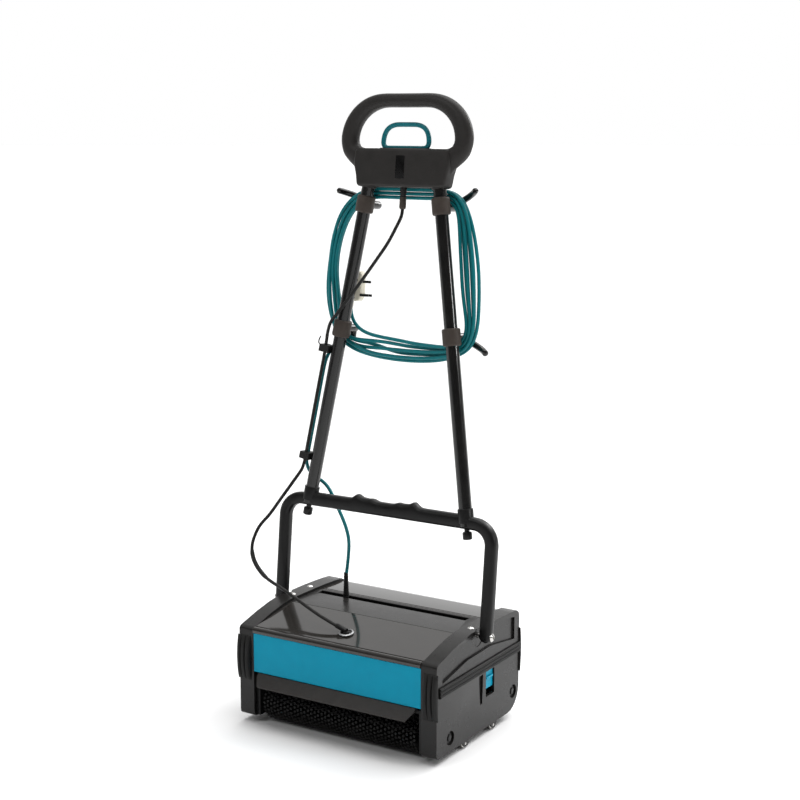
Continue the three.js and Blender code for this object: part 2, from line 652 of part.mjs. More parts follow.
function motor() {
  const half = MOTOR_LENGTH / 2;
  const bore = AXLE_RADIUS + RUN_GAP;
  const nose = 16; // radius of the housing's stepped ends
  const end = half + 12;
  const profile = [
    [bore, -end], [nose, -end], [nose, -half], [MOTOR_RADIUS - 5, -half],
    [MOTOR_RADIUS, -half + 5], [MOTOR_RADIUS, half - 5], [MOTOR_RADIUS - 5, half],
    [nose, half], [nose, end], [bore, end], [bore, -end],
  ];
  return turnedX(profile, ...MOTOR_AXIS, 32);
}

function supportRoller(y, side) {
  const far = EAR_FACE - EAR_WALL - ROLLER_SIDE_GAP;
  const near = far - ROLLER_WIDTH;
  const pin = ROLLER_PIN;
  const rim = ROLLER_RADIUS - 1.5;
  const profile = [
    [0, near - 4], [pin, near - 4], [pin, near], [rim, near], [ROLLER_RADIUS, near + 1.5],
    [ROLLER_RADIUS, far - 1.5], [rim, far], [pin, far], [pin, far + 2.3], [0, far + 2.3],
  ];
  return onSide(turnedX(profile, y, ROLLER_RADIUS, 16), side);
}

// ---------------------------------------------------------------- handle: yoke and tubes
function tubeX(along) {
  return TUBE_FOOT_X - TUBE_SLOPE * (along - TUBE_FOOT);
}

// Sets a piece drawn upright round the origin on the right-hand tube's axis at a height.
function onTube(geometry, along) {
  return geometry.rotateY(-TUBE_ANGLE).translate(tubeX(along), 0, along);
}

// A piece turned about its own upright axis; profile points are (radius, height).
function upright(profile, segments = 20) {
  return turned(profile, segments).rotateX(Math.PI / 2);
}

// A plain round post standing on the origin.
function post(radius, height) {
  return upright([[0, 0], [radius, 0], [radius, height], [0, height]]);
}

function yokeOutline() {
  const foot = YOKE_BAR / 2;
  const armX = YOKE_INNER + foot;
  const innerCorner = YOKE_CORNER - YOKE_BAR;
  const low = YOKE_BAR_BOTTOM;
  const outline = new THREE.Shape();
  outline.moveTo(YOKE_OUTER, 0);
  outline.lineTo(YOKE_OUTER, YOKE_TOP - YOKE_CORNER);
  outline.absarc(YOKE_OUTER - YOKE_CORNER, YOKE_TOP - YOKE_CORNER, YOKE_CORNER, 0, Math.PI / 2, false);
  outline.lineTo(-YOKE_OUTER + YOKE_CORNER, YOKE_TOP);
  outline.absarc(-YOKE_OUTER + YOKE_CORNER, YOKE_TOP - YOKE_CORNER, YOKE_CORNER, Math.PI / 2, Math.PI, false);
  outline.lineTo(-YOKE_OUTER, 0);
  outline.absarc(-armX, 0, foot, Math.PI, 2 * Math.PI, false);
  outline.lineTo(-YOKE_INNER, low - innerCorner);
  outline.absarc(-YOKE_INNER + innerCorner, low - innerCorner, innerCorner, Math.PI, Math.PI / 2, true);
  for (const side of [-1, 1]) {
    const outward = [[90, 0], [77, 1], [64, GRIP_BUMP], [52, 0.45 * GRIP_BUMP], [40, 0.3 * GRIP_BUMP],
      [30, 0.5 * GRIP_BUMP], [18, 0]];
    const points = outward.map(([x, drop]) => new THREE.Vector2(side * x, low - drop));
    if (side > 0) points.reverse();
    outline.lineTo(points[0].x, points[0].y);
    outline.splineThru(points.slice(1));
  }
  outline.lineTo(YOKE_INNER - innerCorner, low);
  outline.absarc(YOKE_INNER - innerCorner, low - innerCorner, innerCorner, Math.PI / 2, 0, true);
  outline.lineTo(YOKE_INNER, 0);
  outline.absarc(armX, 0, foot, Math.PI, 2 * Math.PI, false);
  return outline;
}

function yoke() {
  const half = YOKE_DEPTH / 2;
  const frame = frontExtrusion(yokeOutline(), -half, half, 6);
  const collarFoot = YOKE_TOP - 6;
  const collar = onTube(post(SOCKET_RADIUS, SOCKET_TOP - collarFoot), collarFoot);
  const bore = onTube(post(TUBE_RADIUS + PART_GAP, 60), YOKE_BAR_BOTTOM + 6);
  const boltHole = onTube(post(SMALL_AXLE + RUN_GAP, 20), YOKE_BAR_BOTTOM - 6);
  const pivotHole = rodX(SMALL_AXLE + RUN_GAP, -YOKE_OUTER - THROUGH, YOKE_OUTER + THROUGH, 0, 0);
  const withCollars = join(frame, collar, onSide(collar, -1));
  const cuts = [bore, boltHole];
  return cut(withCollars, ...cuts, ...cuts.map((tool) => onSide(tool, -1)), pivotHole);
}

// A domed screw along the hinge line, through the yoke's foot and the casing's wall.
function pivotBolt() {
  const head = YOKE_OUTER + PART_GAP;
  const profile = [
    [0, HALF_W - CASING_WALL], [SMALL_AXLE, HALF_W - CASING_WALL], [SMALL_AXLE, head],
    [8, head], [7.2, head + 2], [4.5, head + 3.6], [0, head + 4],
  ];
  return turnedX(profile, 0, PIVOT_HEIGHT, 20);
}

function handleTube() {
  const length = (TUBE_TOP - (YOKE_BAR_BOTTOM + 7)) / Math.cos(TUBE_ANGLE);
  const inner = TUBE_RADIUS - TUBE_WALL;
  const wall = [[inner, 0], [TUBE_RADIUS, 0], [TUBE_RADIUS, length], [inner, length], [inner, 0]];
  return onTube(upright(wall), YOKE_BAR_BOTTOM + 7);
}

// The screw that holds a tube in the cross bar, with its thick round head below.
function tubeBolt() {
  const stem = SMALL_AXLE;
  const head = 9;
  const seat = -PART_GAP - head * Math.sin(TUBE_ANGLE);
  const profile = [
    [0, seat - 15], [head - 1, seat - 15], [head, seat - 13.5], [head, seat],
    [stem, seat], [stem, 36], [0, 36],
  ];
  return onTube(upright(profile, 20), YOKE_BAR_BOTTOM);
}

// ---------------------------------------------------------------- handle: grip and switch
// The right-hand half of an outline, from the centre line up and round, and its mirror image.
function mirrored(points) {
  return [...points, ...points.slice(1, -1).reverse().map(([x, h]) => [-x, h])];
}

// Evenly spaced points on a smooth closed curve through the given ones.
function closedCurve(points, divisions) {
  const corners = points.map(([x, h]) => new THREE.Vector3(x, h, 0));
  const curve = new THREE.CatmullRomCurve3(corners, true, "centripetal");
  return curve.getSpacedPoints(divisions).slice(0, -1).map((p) => new THREE.Vector2(p.x, p.y));
}

function gripRing() {
  const w = GRIP_HALF_WIDTH;
  const outer = mirrored([
    [0, POD_BOTTOM + 8], [0.5 * w, POD_BOTTOM + 9], [0.66 * w, POD_BOTTOM + 20], [0.75 * w, POD_BOTTOM + 40],
    [0.91 * w, POD_BOTTOM + 58], [w, POD_BOTTOM + 82], [0.985 * w, GRIP_TOP - 72], [0.9 * w, GRIP_TOP - 50],
    [0.76 * w, GRIP_TOP - 25], [0.58 * w, GRIP_TOP - 6], [0.4 * w, GRIP_TOP], [0, GRIP_TOP],
  ]);
  const inner = mirrored([
    [0, POD_TOP + 0.5], [0.6 * w, POD_TOP + 0.5], [w - 40, POD_TOP + 6], [w - 35.5, POD_TOP + 21],
    [w - 43.5, GRIP_TOP - 64], [w - 64, GRIP_TOP - 43], [w - 90, GRIP_TOP - 27], [0, GRIP_TOP - 26],
  ]);
  const outline = new THREE.Shape(closedCurve(outer, 52));
  outline.holes.push(new THREE.Path(closedCurve(inner, 36)));
  return frontExtrusion(outline, -GRIP_THICKNESS / 2, GRIP_THICKNESS / 2, 8);
}

function controlPod() {
  const w = 0.675 * GRIP_HALF_WIDTH;
  const right = [
    [w, POD_BOTTOM], [1.04 * w, POD_BOTTOM + 25], [1.1 * w, POD_BOTTOM + 44], [1.06 * w, POD_TOP],
  ];
  const outline = polygon([...right, ...right.slice().reverse().map(([x, h]) => [-x, h])]);
  return frontExtrusion(outline, -POD_THICKNESS / 2, POD_THICKNESS / 2, 5);
}

function grip() {
  const body = join(gripRing(), controlPod());
  const socket = onTube(post(TUBE_RADIUS + PART_GAP, 42), POD_BOTTOM - 12);
  const pocket = block(
    [-SWITCH_HALF_WIDTH - 3, -9, SWITCH_PIVOT - 7],
    [SWITCH_HALF_WIDTH + 3, 9, POD_TOP + 3],
  );
  return cut(body, socket, onSide(socket, -1), pocket);
}

// A rounded rectangle with separate upper and lower corner radii.
function roundedBox(target, half, bottom, top, lowRadius, highRadius) {
  target.moveTo(-half + lowRadius, bottom);
  target.lineTo(half - lowRadius, bottom);
  target.absarc(half - lowRadius, bottom + lowRadius, lowRadius, -Math.PI / 2, 0, false);
  target.lineTo(half, top - highRadius);
  target.absarc(half - highRadius, top - highRadius, highRadius, 0, Math.PI / 2, false);
  target.lineTo(-half + highRadius, top);
  target.absarc(-half + highRadius, top - highRadius, highRadius, Math.PI / 2, Math.PI, false);
  target.lineTo(-half, bottom + lowRadius);
  target.absarc(-half + lowRadius, bottom + lowRadius, lowRadius, Math.PI, 1.5 * Math.PI, false);
  return target;
}

function switchLoop() {
  const outline = roundedBox(new THREE.Shape(), SWITCH_HALF_WIDTH, SWITCH_BOTTOM, SWITCH_TOP, 9, 27);
  const inner = new THREE.Path();
  const half = SWITCH_HALF_WIDTH - SWITCH_BAR;
  roundedBox(inner, half, SWITCH_BOTTOM + SWITCH_BAR, SWITCH_TOP - SWITCH_BAR, 5, 19);
  outline.holes.push(inner);
  const ring = frontExtrusion(outline, -4, 4, 2);
  const web = block([-30, -2.5, SWITCH_PIVOT], [30, 2.5, SWITCH_BOTTOM + 3]);
  const pin = rodX(4, -40, 40, 0, SWITCH_PIVOT, 16);
  return join(ring, web, pin);
}

// The moulded gland and sleeve where the lead leaves the control pod.
function leadGland() {
  const top = POD_BOTTOM - PART_GAP;
  const seam = GLAND_END + 22.5;
  const profile = [
    [0, GLAND_END], [5.2, GLAND_END], [6.4, GLAND_END + 4], [6.4, seam],
    [5, seam + 1], [6.5, top], [0, top],
  ];
  return upright(profile, 16);
}

// ---------------------------------------------------------------- handle: clamps and hooks
// A clamp round a tube with a stub behind it and a curved arm that holds the cord coil.
// direction is the arm's way, outward and up; curl is how much of the arm's hook comes forward.
function clampWithHook(along, direction, curl) {
  const half = CLAMP_LENGTH / 2;
  const inner = TUBE_RADIUS + PART_GAP;
  const ring = onTube(
    upright([
      [inner, -half], [CLAMP_RADIUS - 2, -half], [CLAMP_RADIUS, -half + 3], [CLAMP_RADIUS, half - 3],
      [CLAMP_RADIUS - 2, half], [inner, half], [inner, -half],
    ]),
    along,
  );
  const back = COIL_FRONT + COIL_DEPTH + HOOK_GAP + HOOK_RADIUS;
  const stub = turned([[0, 0], [HOOK_BOSS, 0], [HOOK_BOSS, back + 3], [5, back + 7], [0, back + 8]], 20);
  stub.translate(tubeX(along), TUBE_RADIUS + 1.5, along);
  const trimmed = cut(stub, block([-500, back + HOOK_RADIUS + 1, 0], [500, 500, 2000]));
  const reach = [[4, 0], [24, 0], [46, -1], [63, -13], [76, -32]];
  const arm = sweep(
    reach.map(([out, forward]) => [
      tubeX(along) + out * direction[0],
      back + forward * curl,
      along + out * direction[1],
    ]),
    HOOK_RADIUS,
    10,
  );
  return join(ring, trimmed, arm);
}

const OUT_UP = [1, 0.34];
const OUT_DOWN = [1, -0.34];
const DOWN = [0.06, -0.85];
const HOOKS = [
  ["hook_upper_left", UPPER_CLAMP, OUT_UP, 1, -1],
  ["hook_upper_right", UPPER_CLAMP, OUT_UP, 1, 1],
  ["hook_lower_left", LOWER_CLAMP, DOWN, 0, -1],
  ["hook_lower_right", LOWER_CLAMP, OUT_DOWN, 1, 1],
];

// ---------------------------------------------------------------- cords
// A point beside the left-hand tube: out from its axis, behind it, and along the handle.
function besideTube(out, behind, along) {
  return [-tubeX(along) - out, behind, along];
}

// A height between the two cord clips, as a share of the way up.
function betweenClips(share) {
  return LOWER_CLIP + share * (UPPER_CLIP - LOWER_CLIP);
}

// A handle point (x, behind, along) in the machine's frame.
function fromHandle([x, behind, along]) {
  const y = along * Math.sin(LEAN) + behind * Math.cos(LEAN);
  return [x, y, PIVOT_HEIGHT + along * Math.cos(LEAN) - behind * Math.sin(LEAN)];
}

// A free cord's points, shifted so that both ends fall where they belong and leave the same way.
function reachBetween(start, end, shape) {
  const last = shape.length - 1;
  return shape.map((point, i) => {
    const share = THREE.MathUtils.smoothstep(i, 0, last);
    const shift = (axis) =>
      (1 - share) * (start[axis] - shape[0][axis]) + share * (end[axis] - shape[last][axis]);
    return point.map((value, axis) => value + shift(axis));
  });
}

const CORD_GAP = 1; // between a cord's end and the next piece of it
const CORD_SPLIT = LOWER_CLIP - 9; // where both cords leave the handle
const LEAD_BEHIND = -9;
const MAINS_BEHIND = 3;
const LEAD_OUT = TUBE_RADIUS + 11.3; // each cord's distance out from the tube's axis at the clips
const MAINS_OUT = TUBE_RADIUS + 14.3;
const LEAD_ON_HANDLE = [
  [0, 0, GLAND_END - CORD_GAP], [-0.4, -0.4, GLAND_END - 9.5], [-2.5, -2.5, GLAND_END - 19.5],
  [-9, -6, GLAND_END - 36.5], [-22, -10, GLAND_END - 64.5], [-43, -14, GLAND_END - 97.5],
  [-65, -17, GLAND_END - 129.5], besideTube(-16.7, -TUBE_RADIUS - 7.8, LOWER_CLAMP + 61),
  besideTube(0.7, -TUBE_RADIUS - 9.8, LOWER_CLAMP + 32),
  besideTube(16.5, -TUBE_RADIUS - 5.3, LOWER_CLAMP + 12),
  besideTube(LEAD_OUT - 0.1, -11.5, LOWER_CLAMP - 7),
  besideTube(LEAD_OUT + 0.6, LEAD_BEHIND, LOWER_CLAMP - 28),
  ...[1, 0.771, 0.537, 0.266, 0].map((share) => besideTube(LEAD_OUT, LEAD_BEHIND, betweenClips(share))),
  besideTube(LEAD_OUT, LEAD_BEHIND, CORD_SPLIT),
];
const MAINS_ON_HANDLE = [
  besideTube(19, COIL_FRONT + 6, LOWER_CLAMP - 33), besideTube(21.8, COIL_FRONT, LOWER_CLAMP - 41),
  besideTube(MAINS_OUT - 1.4, 5, LOWER_CLAMP - 51),
  ...[0.893, 0.771, 0.537, 0.266, 0].map((share) => besideTube(MAINS_OUT, MAINS_BEHIND, betweenClips(share))),
  besideTube(MAINS_OUT, MAINS_BEHIND, CORD_SPLIT),
];

const GLAND_AT = [-112, SLOT_FRONT + SLOT_WIDTH / 2];
const GLAND_FOOT = COVER_HEIGHT - SLOT_DEPTH + PART_GAP;
const GLAND_TOP = GLAND_FOOT + 60.9;
const LID_SLOPE = (COVER_HEIGHT - FRONT_HEIGHT - 1.5) / (CENTRE_FRONT + HALF_D - 3);
const CONNECTOR_AT = [-3.5, -HALF_D + 46];
const CONNECTOR_HEIGHT = FRONT_HEIGHT + 1.5 + LID_SLOPE * (CONNECTOR_AT[1] + HALF_D - 3);
const BARREL = [[0, 0, 6], [-11.5, 0.9, 9], [-23, 1.8, 12]]; // the connector's barrel, from its seat

function atConnector([x, y, z]) {
  return [CONNECTOR_AT[0] + x, CONNECTOR_AT[1] + y, CONNECTOR_HEIGHT + z];
}

// Points between the handle and the base are in the machine's frame.
const LEAD_TO_BASE = reachBetween(
  fromHandle(besideTube(LEAD_OUT + 0.1, LEAD_BEHIND, CORD_SPLIT - CORD_GAP)),
  atConnector([-23.5, 1.8, 11.5]),
  [
    [-189.5, 20.3, 482.8], [-192, 16, 470], [-204, 2, 445], [-224, -12, 411], [-242, -25, 380],
    [-262, -36, 352], [-268, -50, 318], [-256, -60, 291], [-225, -68, 266], [-182, -76, 252],
    [-138, -86, 240], [-98, -98, 230], [-68, -105, 222], [-45, -108.4, 216], [-27, -110.2, 210.9],
  ],
);
const MAINS_DROP = reachBetween(
  fromHandle(besideTube(-TUBE_RADIUS - 6.7, TUBE_RADIUS + 8.8, LOWER_CLIP - 53.5)),
  [GLAND_AT[0] + 1, GLAND_AT[1] + 0.5, GLAND_TOP + CORD_GAP],
  [
    [-153, 46, 436], [-138, 43, 420], [-126, 43, 394], [-113, 48, 362], [-106, 52, 330],
    [-107, 52, 300], [-110, 51, 270], [-111, 50.5, 262.2],
  ],
);
const MAINS_TO_BASE = [
  fromHandle(besideTube(MAINS_OUT + 0.1, MAINS_BEHIND, CORD_SPLIT - CORD_GAP)),
  fromHandle(besideTube(MAINS_OUT - 0.7, MAINS_BEHIND + 0.4, LOWER_CLIP - 17)),
  fromHandle(besideTube(TUBE_RADIUS + 9.1, 6.6, LOWER_CLIP - 26.9)),
  fromHandle(besideTube(11.35, TUBE_RADIUS + 0.95, LOWER_CLIP - 36.2)),
  fromHandle(besideTube(-3, TUBE_RADIUS + 7.4, LOWER_CLIP - 44.6)),
  ...MAINS_DROP,
];

// A tapered strain relief that stands in the slot's floor.
function mainsGland() {
  const step = GLAND_FOOT + 8;
  const profile = [
    [0, GLAND_FOOT], [7.5, GLAND_FOOT], [7.5, step], [6, step + 2], [4.6, GLAND_TOP], [0, GLAND_TOP],
  ];
  return upright(profile, 16).translate(GLAND_AT[0], GLAND_AT[1], 0);
}

// The round connector on the front lid: a low cap on the lid's slope and a barrel for the lead.
function leadConnector() {
  const profile = [[0, 0], [14, 0], [14, 2], [11.5, 3.4], [11, 2.6], [6, 2.6], [5, 5], [0, 5]];
  const cap = upright(profile, 16).rotateX(Math.atan(LID_SLOPE)).translate(...atConnector([0, 0, 0.35]));
  return join(cap, sweep(BARREL.map(atConnector), 5, 1, 10));
}

// The coil's edges, point by point from the bottom round by the left-hand side: x as a share of
// the tubes' own at that height, and the drop below the upper clamps.
const COIL_INNER = [
  [0, 257.5], [-0.32, 257.5], [-0.64, 257.5], [-0.88, 257], [-1.051, 249], [-1.153, 227],
  [-1.227, 199], [-1.335, 169], [-1.452, 139], [-1.53, 109], [-1.565, 79], [-1.554, 49], [-1.488, 22],
  [-1.353, 2.5], [-1.187, -8], [-0.951, -11.5], [-0.488, -11.5], [0, -11.5], [0.488, -11.5],
  [0.927, -11.5], [1.167, -4.5], [1.228, 13], [1.216, 39], [1.186, 74], [1.161, 114], [1.143, 154],
  [1.148, 189], [1.153, 221], [1.065, 248], [0.88, 257.5], [0.639, 258], [0.32, 257.5],
];
const COIL_OUTER = [
  [0, 298], [-0.351, 296], [-0.675, 290.5], [-0.947, 281], [-1.172, 265], [-1.363, 237], [-1.528, 204],
  [-1.655, 171], [-1.739, 139], [-1.8, 108], [-1.868, 75], [-1.892, 41], [-1.831, 12], [-1.654, -10],
  [-1.404, -25.5], [-1.07, -33.5], [-0.536, -34.5], [0, -34.5], [0.536, -34.5], [1.045, -33.5],
  [1.382, -22], [1.518, 3], [1.571, 33], [1.581, 71], [1.555, 113], [1.498, 154], [1.434, 191],
  [1.352, 227], [1.183, 263], [0.924, 280.5], [0.644, 291.5], [0.328, 296.5],
];
// The cord's end, from the coil's inner edge up to the plug.
const COIL_END = [
  [0.19, 264.5], [-0.16, 256.5], [-0.438, 246], [-0.677, 233], [-0.861, 216], [-0.965, 201], [-0.998, 190],
];
const PLUG_AT = UPPER_CLAMP - 159;

function mainsCoil() {
  const onHandle = ([share, drop]) => [share * tubeX(UPPER_CLAMP - drop), UPPER_CLAMP - drop];
  const outline = new THREE.Shape(closedCurve(COIL_OUTER.map(onHandle), 52));
  outline.holes.push(new THREE.Path(closedCurve(COIL_INNER.map(onHandle), 52)));
  const middle = COIL_FRONT + COIL_DEPTH / 2;
  const points = COIL_END.map(onHandle).map(([x, along]) => [x, middle, along]);
  const body = frontExtrusion(outline, COIL_FRONT, COIL_FRONT + COIL_DEPTH);
  return join(body, sweep(points, MAINS_RADIUS, 10));
}

// A three-pin plug that hangs from the coil behind the left-hand tube, its pins to the right.
function mainsPlug() {
  const outline = polygon([[-17.7, -30], [8.3, -27], [12.3, -18], [12.3, 22], [8.3, 30], [-17.7, 30]]);
  const body = frontExtrusion(outline, COIL_FRONT + 2, COIL_FRONT + 20, 3);
  const pins = [-16, 1, 18].map((rise) => block([11, 25, rise - 2.5], [29.3, 30, rise + 2.5]));
  return join(body, ...pins).translate(-tubeX(PLUG_AT), 0, PLUG_AT);
}

// A moulded clip on the left-hand tube with a hole for each cord.
function cordClip(along) {
  const half = CLIP_LENGTH / 2;
  const nearX = TUBE_RADIUS + PART_GAP;
  const body = onTube(block([nearX, -15, -half], [nearX + 22, 10, half]), along);
  const pair = onSide(body, -1);
  const holes = [
    sweep(LEAD_ON_HANDLE, LEAD_RADIUS + 0.6, 60),
    sweep(MAINS_ON_HANDLE, MAINS_RADIUS + 0.6, 40),
  ];
  return cut(pair, ...holes);
}

// ---------------------------------------------------------------- assembly
place(base, "chassis", chassis(), satinBlack);
place(base, "centre_cover", centreCover(), charcoal);
place(base, "front_tank", tank(FRONT_TANK), teal);
place(base, "rear_tank", tank(REAR_TANK), teal);
place(base, "front_lid", sideExtrusion(polygon(FRONT_LID), -FILL_X, FILL_X), smokeGloss);
place(base, "rear_lid", sideExtrusion(polygon(REAR_LID), -FILL_X, FILL_X), smokeGloss);
for (const [end, sign] of [["front", -1], ["rear", 1]]) {
  place(base, `${end}_spray_lip`, onEnd(sprayLip(), sign), lipGrey);
  for (const [side, hand] of Object.entries(SIDES)) {
    place(base, `corner_pad_${end}_${side}`, onEnd(onSide(cornerPad(), hand), sign), rubberBlack);
    place(base, `bearing_${end}_${side}`, bearing(...BRUSH_AXES[end], hand), steel);
  }
  place(base, `${end}_bristles`, bristleSleeve(...BRUSH_AXES[end]), bristleBlack);
}
place(base, "front_brush_core", brushCore(...BRUSH_AXES.front, -1, OUTER_ROW_X), satinBlack);
place(base, "rear_brush_core", brushCore(...BRUSH_AXES.rear, 1, DRIVE_X), satinBlack);
place(base, "pickup_drum", pickupDrum(), aluminium);
place(base, "motor", motor(), aluminium);
place(base, "motor_shaft", motorShaft(), steel);
place(base, "reversing_gear", reversingGear(), steel);
place(base, "front_belt", belt(MOTOR_AXIS, BRUSH_AXES.front, -OUTER_ROW_X - BELT_WIDTH), rubberBlack);
place(base, "rear_belt", belt(REVERSER_AXIS, BRUSH_AXES.rear, DRIVE_X), rubberBlack);
for (const [side, hand] of Object.entries(SIDES)) {
  place(base, `side_casing_${side}`, onSide(sideCasing(), hand), charcoal);
  place(base, `side_bumper_${side}`, onSide(sideBumper(), hand), rubberBlack);
  place(base, `side_latch_${side}`, onSide(sideLatch(), hand), teal);
  place(base, `yoke_pivot_bolt_${side}`, onSide(pivotBolt(), hand), steel);
  place(base, `roller_front_${side}`, supportRoller(ROLLER_Y[0], hand), steel);
  place(base, `roller_rear_${side}`, supportRoller(ROLLER_Y[1], hand), steel);
  place(handle, `handle_tube_${side}`, onSide(handleTube(), hand), tubeBlack);
  place(handle, `tube_bolt_${side}`, onSide(tubeBolt(), hand), satinBlack);
}
place(base, "mains_gland", mainsGland(), rubberBlack);
place(base, "lead_connector", leadConnector(), satinBlack);
place(handle, "yoke", yoke(), satinBlack);
place(handle, "grip", grip(), charcoal);
place(handle, "switch_loop", switchLoop(), cordTeal);
place(handle, "lead_gland", leadGland(), clampBrown);
for (const [name, along, direction, curl, hand] of HOOKS) {
  place(handle, name, onSide(clampWithHook(along, direction, curl), hand), clampBrown);
}
place(handle, "cord_clip_upper", cordClip(UPPER_CLIP), rubberBlack);
place(handle, "cord_clip_lower", cordClip(LOWER_CLIP), rubberBlack);
place(handle, "lead_on_handle", sweep(LEAD_ON_HANDLE, LEAD_RADIUS, 34), rubberBlack);
place(handle, "mains_on_handle", sweep(MAINS_ON_HANDLE, MAINS_RADIUS, 18), cordTeal);
place(base, "lead_to_base", sweep(LEAD_TO_BASE, LEAD_RADIUS, 32), rubberBlack);
place(base, "mains_to_base", sweep(MAINS_TO_BASE, MAINS_RADIUS, 18), cordTeal);
place(handle, "mains_coil", mainsCoil(), cordTeal);
place(handle, "mains_plug", mainsPlug(), ivory);

const machine = new THREE.Group();
machine.add(base, handle);

export default machine;
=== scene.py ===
"""Looks of an upright twin-brush carpet cleaner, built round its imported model. Metres throughout.

The machine stands on the floor at z = 0 with its front towards -Y and its right side towards +X.
The handle is drawn in its own upright frame: x across, h along it from the hinge line, t behind it.
"""

import json
import logging
import math
from dataclasses import dataclass
from enum import Enum

import bmesh
import bpy
import numpy as np
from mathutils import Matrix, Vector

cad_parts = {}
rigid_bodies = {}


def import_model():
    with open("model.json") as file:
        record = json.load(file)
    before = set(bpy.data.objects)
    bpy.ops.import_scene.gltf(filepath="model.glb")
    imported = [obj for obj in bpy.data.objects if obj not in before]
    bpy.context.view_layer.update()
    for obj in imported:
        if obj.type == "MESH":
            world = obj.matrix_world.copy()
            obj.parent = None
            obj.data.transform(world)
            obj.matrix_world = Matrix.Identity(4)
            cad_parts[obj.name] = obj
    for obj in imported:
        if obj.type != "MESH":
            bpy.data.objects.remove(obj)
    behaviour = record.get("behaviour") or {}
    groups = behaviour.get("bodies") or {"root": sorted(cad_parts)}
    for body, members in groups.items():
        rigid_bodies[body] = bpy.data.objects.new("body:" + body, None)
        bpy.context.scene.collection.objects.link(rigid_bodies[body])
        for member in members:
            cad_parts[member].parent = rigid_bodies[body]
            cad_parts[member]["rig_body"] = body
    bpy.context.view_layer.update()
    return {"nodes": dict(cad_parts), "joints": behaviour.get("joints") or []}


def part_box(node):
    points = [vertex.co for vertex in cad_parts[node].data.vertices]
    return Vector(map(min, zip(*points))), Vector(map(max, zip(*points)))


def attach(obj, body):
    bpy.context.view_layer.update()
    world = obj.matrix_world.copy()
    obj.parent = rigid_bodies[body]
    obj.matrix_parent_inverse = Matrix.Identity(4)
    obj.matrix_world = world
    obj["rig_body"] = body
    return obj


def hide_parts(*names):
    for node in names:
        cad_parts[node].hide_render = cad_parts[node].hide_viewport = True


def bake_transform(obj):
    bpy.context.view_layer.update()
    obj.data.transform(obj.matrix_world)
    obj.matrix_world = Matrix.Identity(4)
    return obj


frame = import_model()

MM = 0.001
LOG = logging.getLogger("carpet_cleaner")
Array = np.ndarray
Triple = tuple[float, float, float]
Tree = bpy.types.NodeTree
Socket = bpy.types.NodeSocket
Node = bpy.types.Node
Material = bpy.types.Material
Piece = bpy.types.Object


class Side(Enum):
    """The machine's two sides, seen from the front, as the sign of x."""

    LEFT = -1
    RIGHT = 1

    @property
    def word(self) -> str:
        """The side's name in the names of pieces."""
        return self.name.lower()


class End(Enum):
    """The front and the rear of the base, as the sign of y."""

    FRONT = -1
    REAR = 1

    @property
    def word(self) -> str:
        """The end's name in the names of pieces."""
        return self.name.lower()


# ---------------------------------------------------------------- places
@dataclass(frozen=True)
class Place:
    """A frame to draw in: where its origin is, and the ways that its three numbers count."""

    origin: Triple
    first: Triple
    second: Triple
    third: Triple

    def at(self, local: Array) -> Array:
        """World points = origin + first, second and third ways, each times its own number.

        Args:
            local: points in this frame, any shape ending in 3.

        Returns:
            The same points in the machine's frame.
        """
        ways = np.array([self.first, self.second, self.third])
        return np.array(self.origin) + np.asarray(local, float) @ ways

    def local(self, world: Array) -> Array:
        """The numbers in this frame of points in the machine's frame."""
        ways = np.array([self.first, self.second, self.third])
        return (np.asarray(world, float) - np.array(self.origin)) @ ways.T


TILT_JOINT = next(j for j in frame["joints"] if j["name"] == "handle_tilt")
HINGE = tuple(float(v) for v in TILT_JOINT["pos_m"])
LEAN = math.radians(6.0)
HANDLE = Place(
    HINGE,
    (1.0, 0.0, 0.0),
    (0.0, math.sin(LEAN), math.cos(LEAN)),
    (0.0, math.cos(LEAN), -math.sin(LEAN)),
)
SIDE_VIEW = Place((0.0, 0.0, 0.0), (0.0, 1.0, 0.0), (0.0, 0.0, 1.0), (1.0, 0.0, 0.0))


def node_points(node: str) -> Array:
    """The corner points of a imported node, one row each."""
    mesh = frame["nodes"][node].data
    points = np.empty(len(mesh.vertices) * 3)
    mesh.vertices.foreach_get("co", points)
    return points.reshape(-1, 3)


def handle_box(node: str) -> tuple[Array, Array]:
    """The lowest and highest x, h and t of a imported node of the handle."""
    local = HANDLE.local(node_points(node))
    return local.min(0), local.max(0)


# ---------------------------------------------------------------- curves
def through(points: Array, closed: bool = False, steps: int = 12) -> Array:
    """A smooth curve through points: a centripetal Catmull-Rom spline, each span a cubic in its share.

    Args:
        points: the points that the curve passes through.
        closed: whether it comes round to its first point again.
        steps: how many stations each span gets.

    Returns:
        The curve's stations.
    """
    p = np.asarray(points, float)
    if closed:
        p = np.vstack([p[-1:], p, p[:2]])
    else:
        p = np.vstack([2 * p[:1] - p[1:2], p, 2 * p[-1:] - p[-2:-1]])
    p0, p1, p2, p3 = p[:-3], p[1:-2], p[2:-1], p[3:]
    pairs = ((p0, p1), (p1, p2), (p2, p3))
    d0, d1, d2 = (np.sqrt(np.linalg.norm(b - a, axis=1, keepdims=True)) for a, b in pairs)
    leave = ((p1 - p0) / d0 - (p2 - p0) / (d0 + d1) + (p2 - p1) / d1) * d1
    arrive = ((p2 - p1) / d1 - (p3 - p1) / (d1 + d2) + (p3 - p2) / d2) * d1
    share = np.arange(steps)[None, :, None] / steps
    start, end, a, b = (v[:, None, :] for v in (p1, p2, leave, arrive))
    cubic = 2 * start - 2 * end + a + b
    square = 3 * end - 3 * start - 2 * a - b
    curve = (start + a * share + square * share**2 + cubic * share**3).reshape(-1, p.shape[1])
    return curve if closed else np.vstack([curve, p2[-1:]])


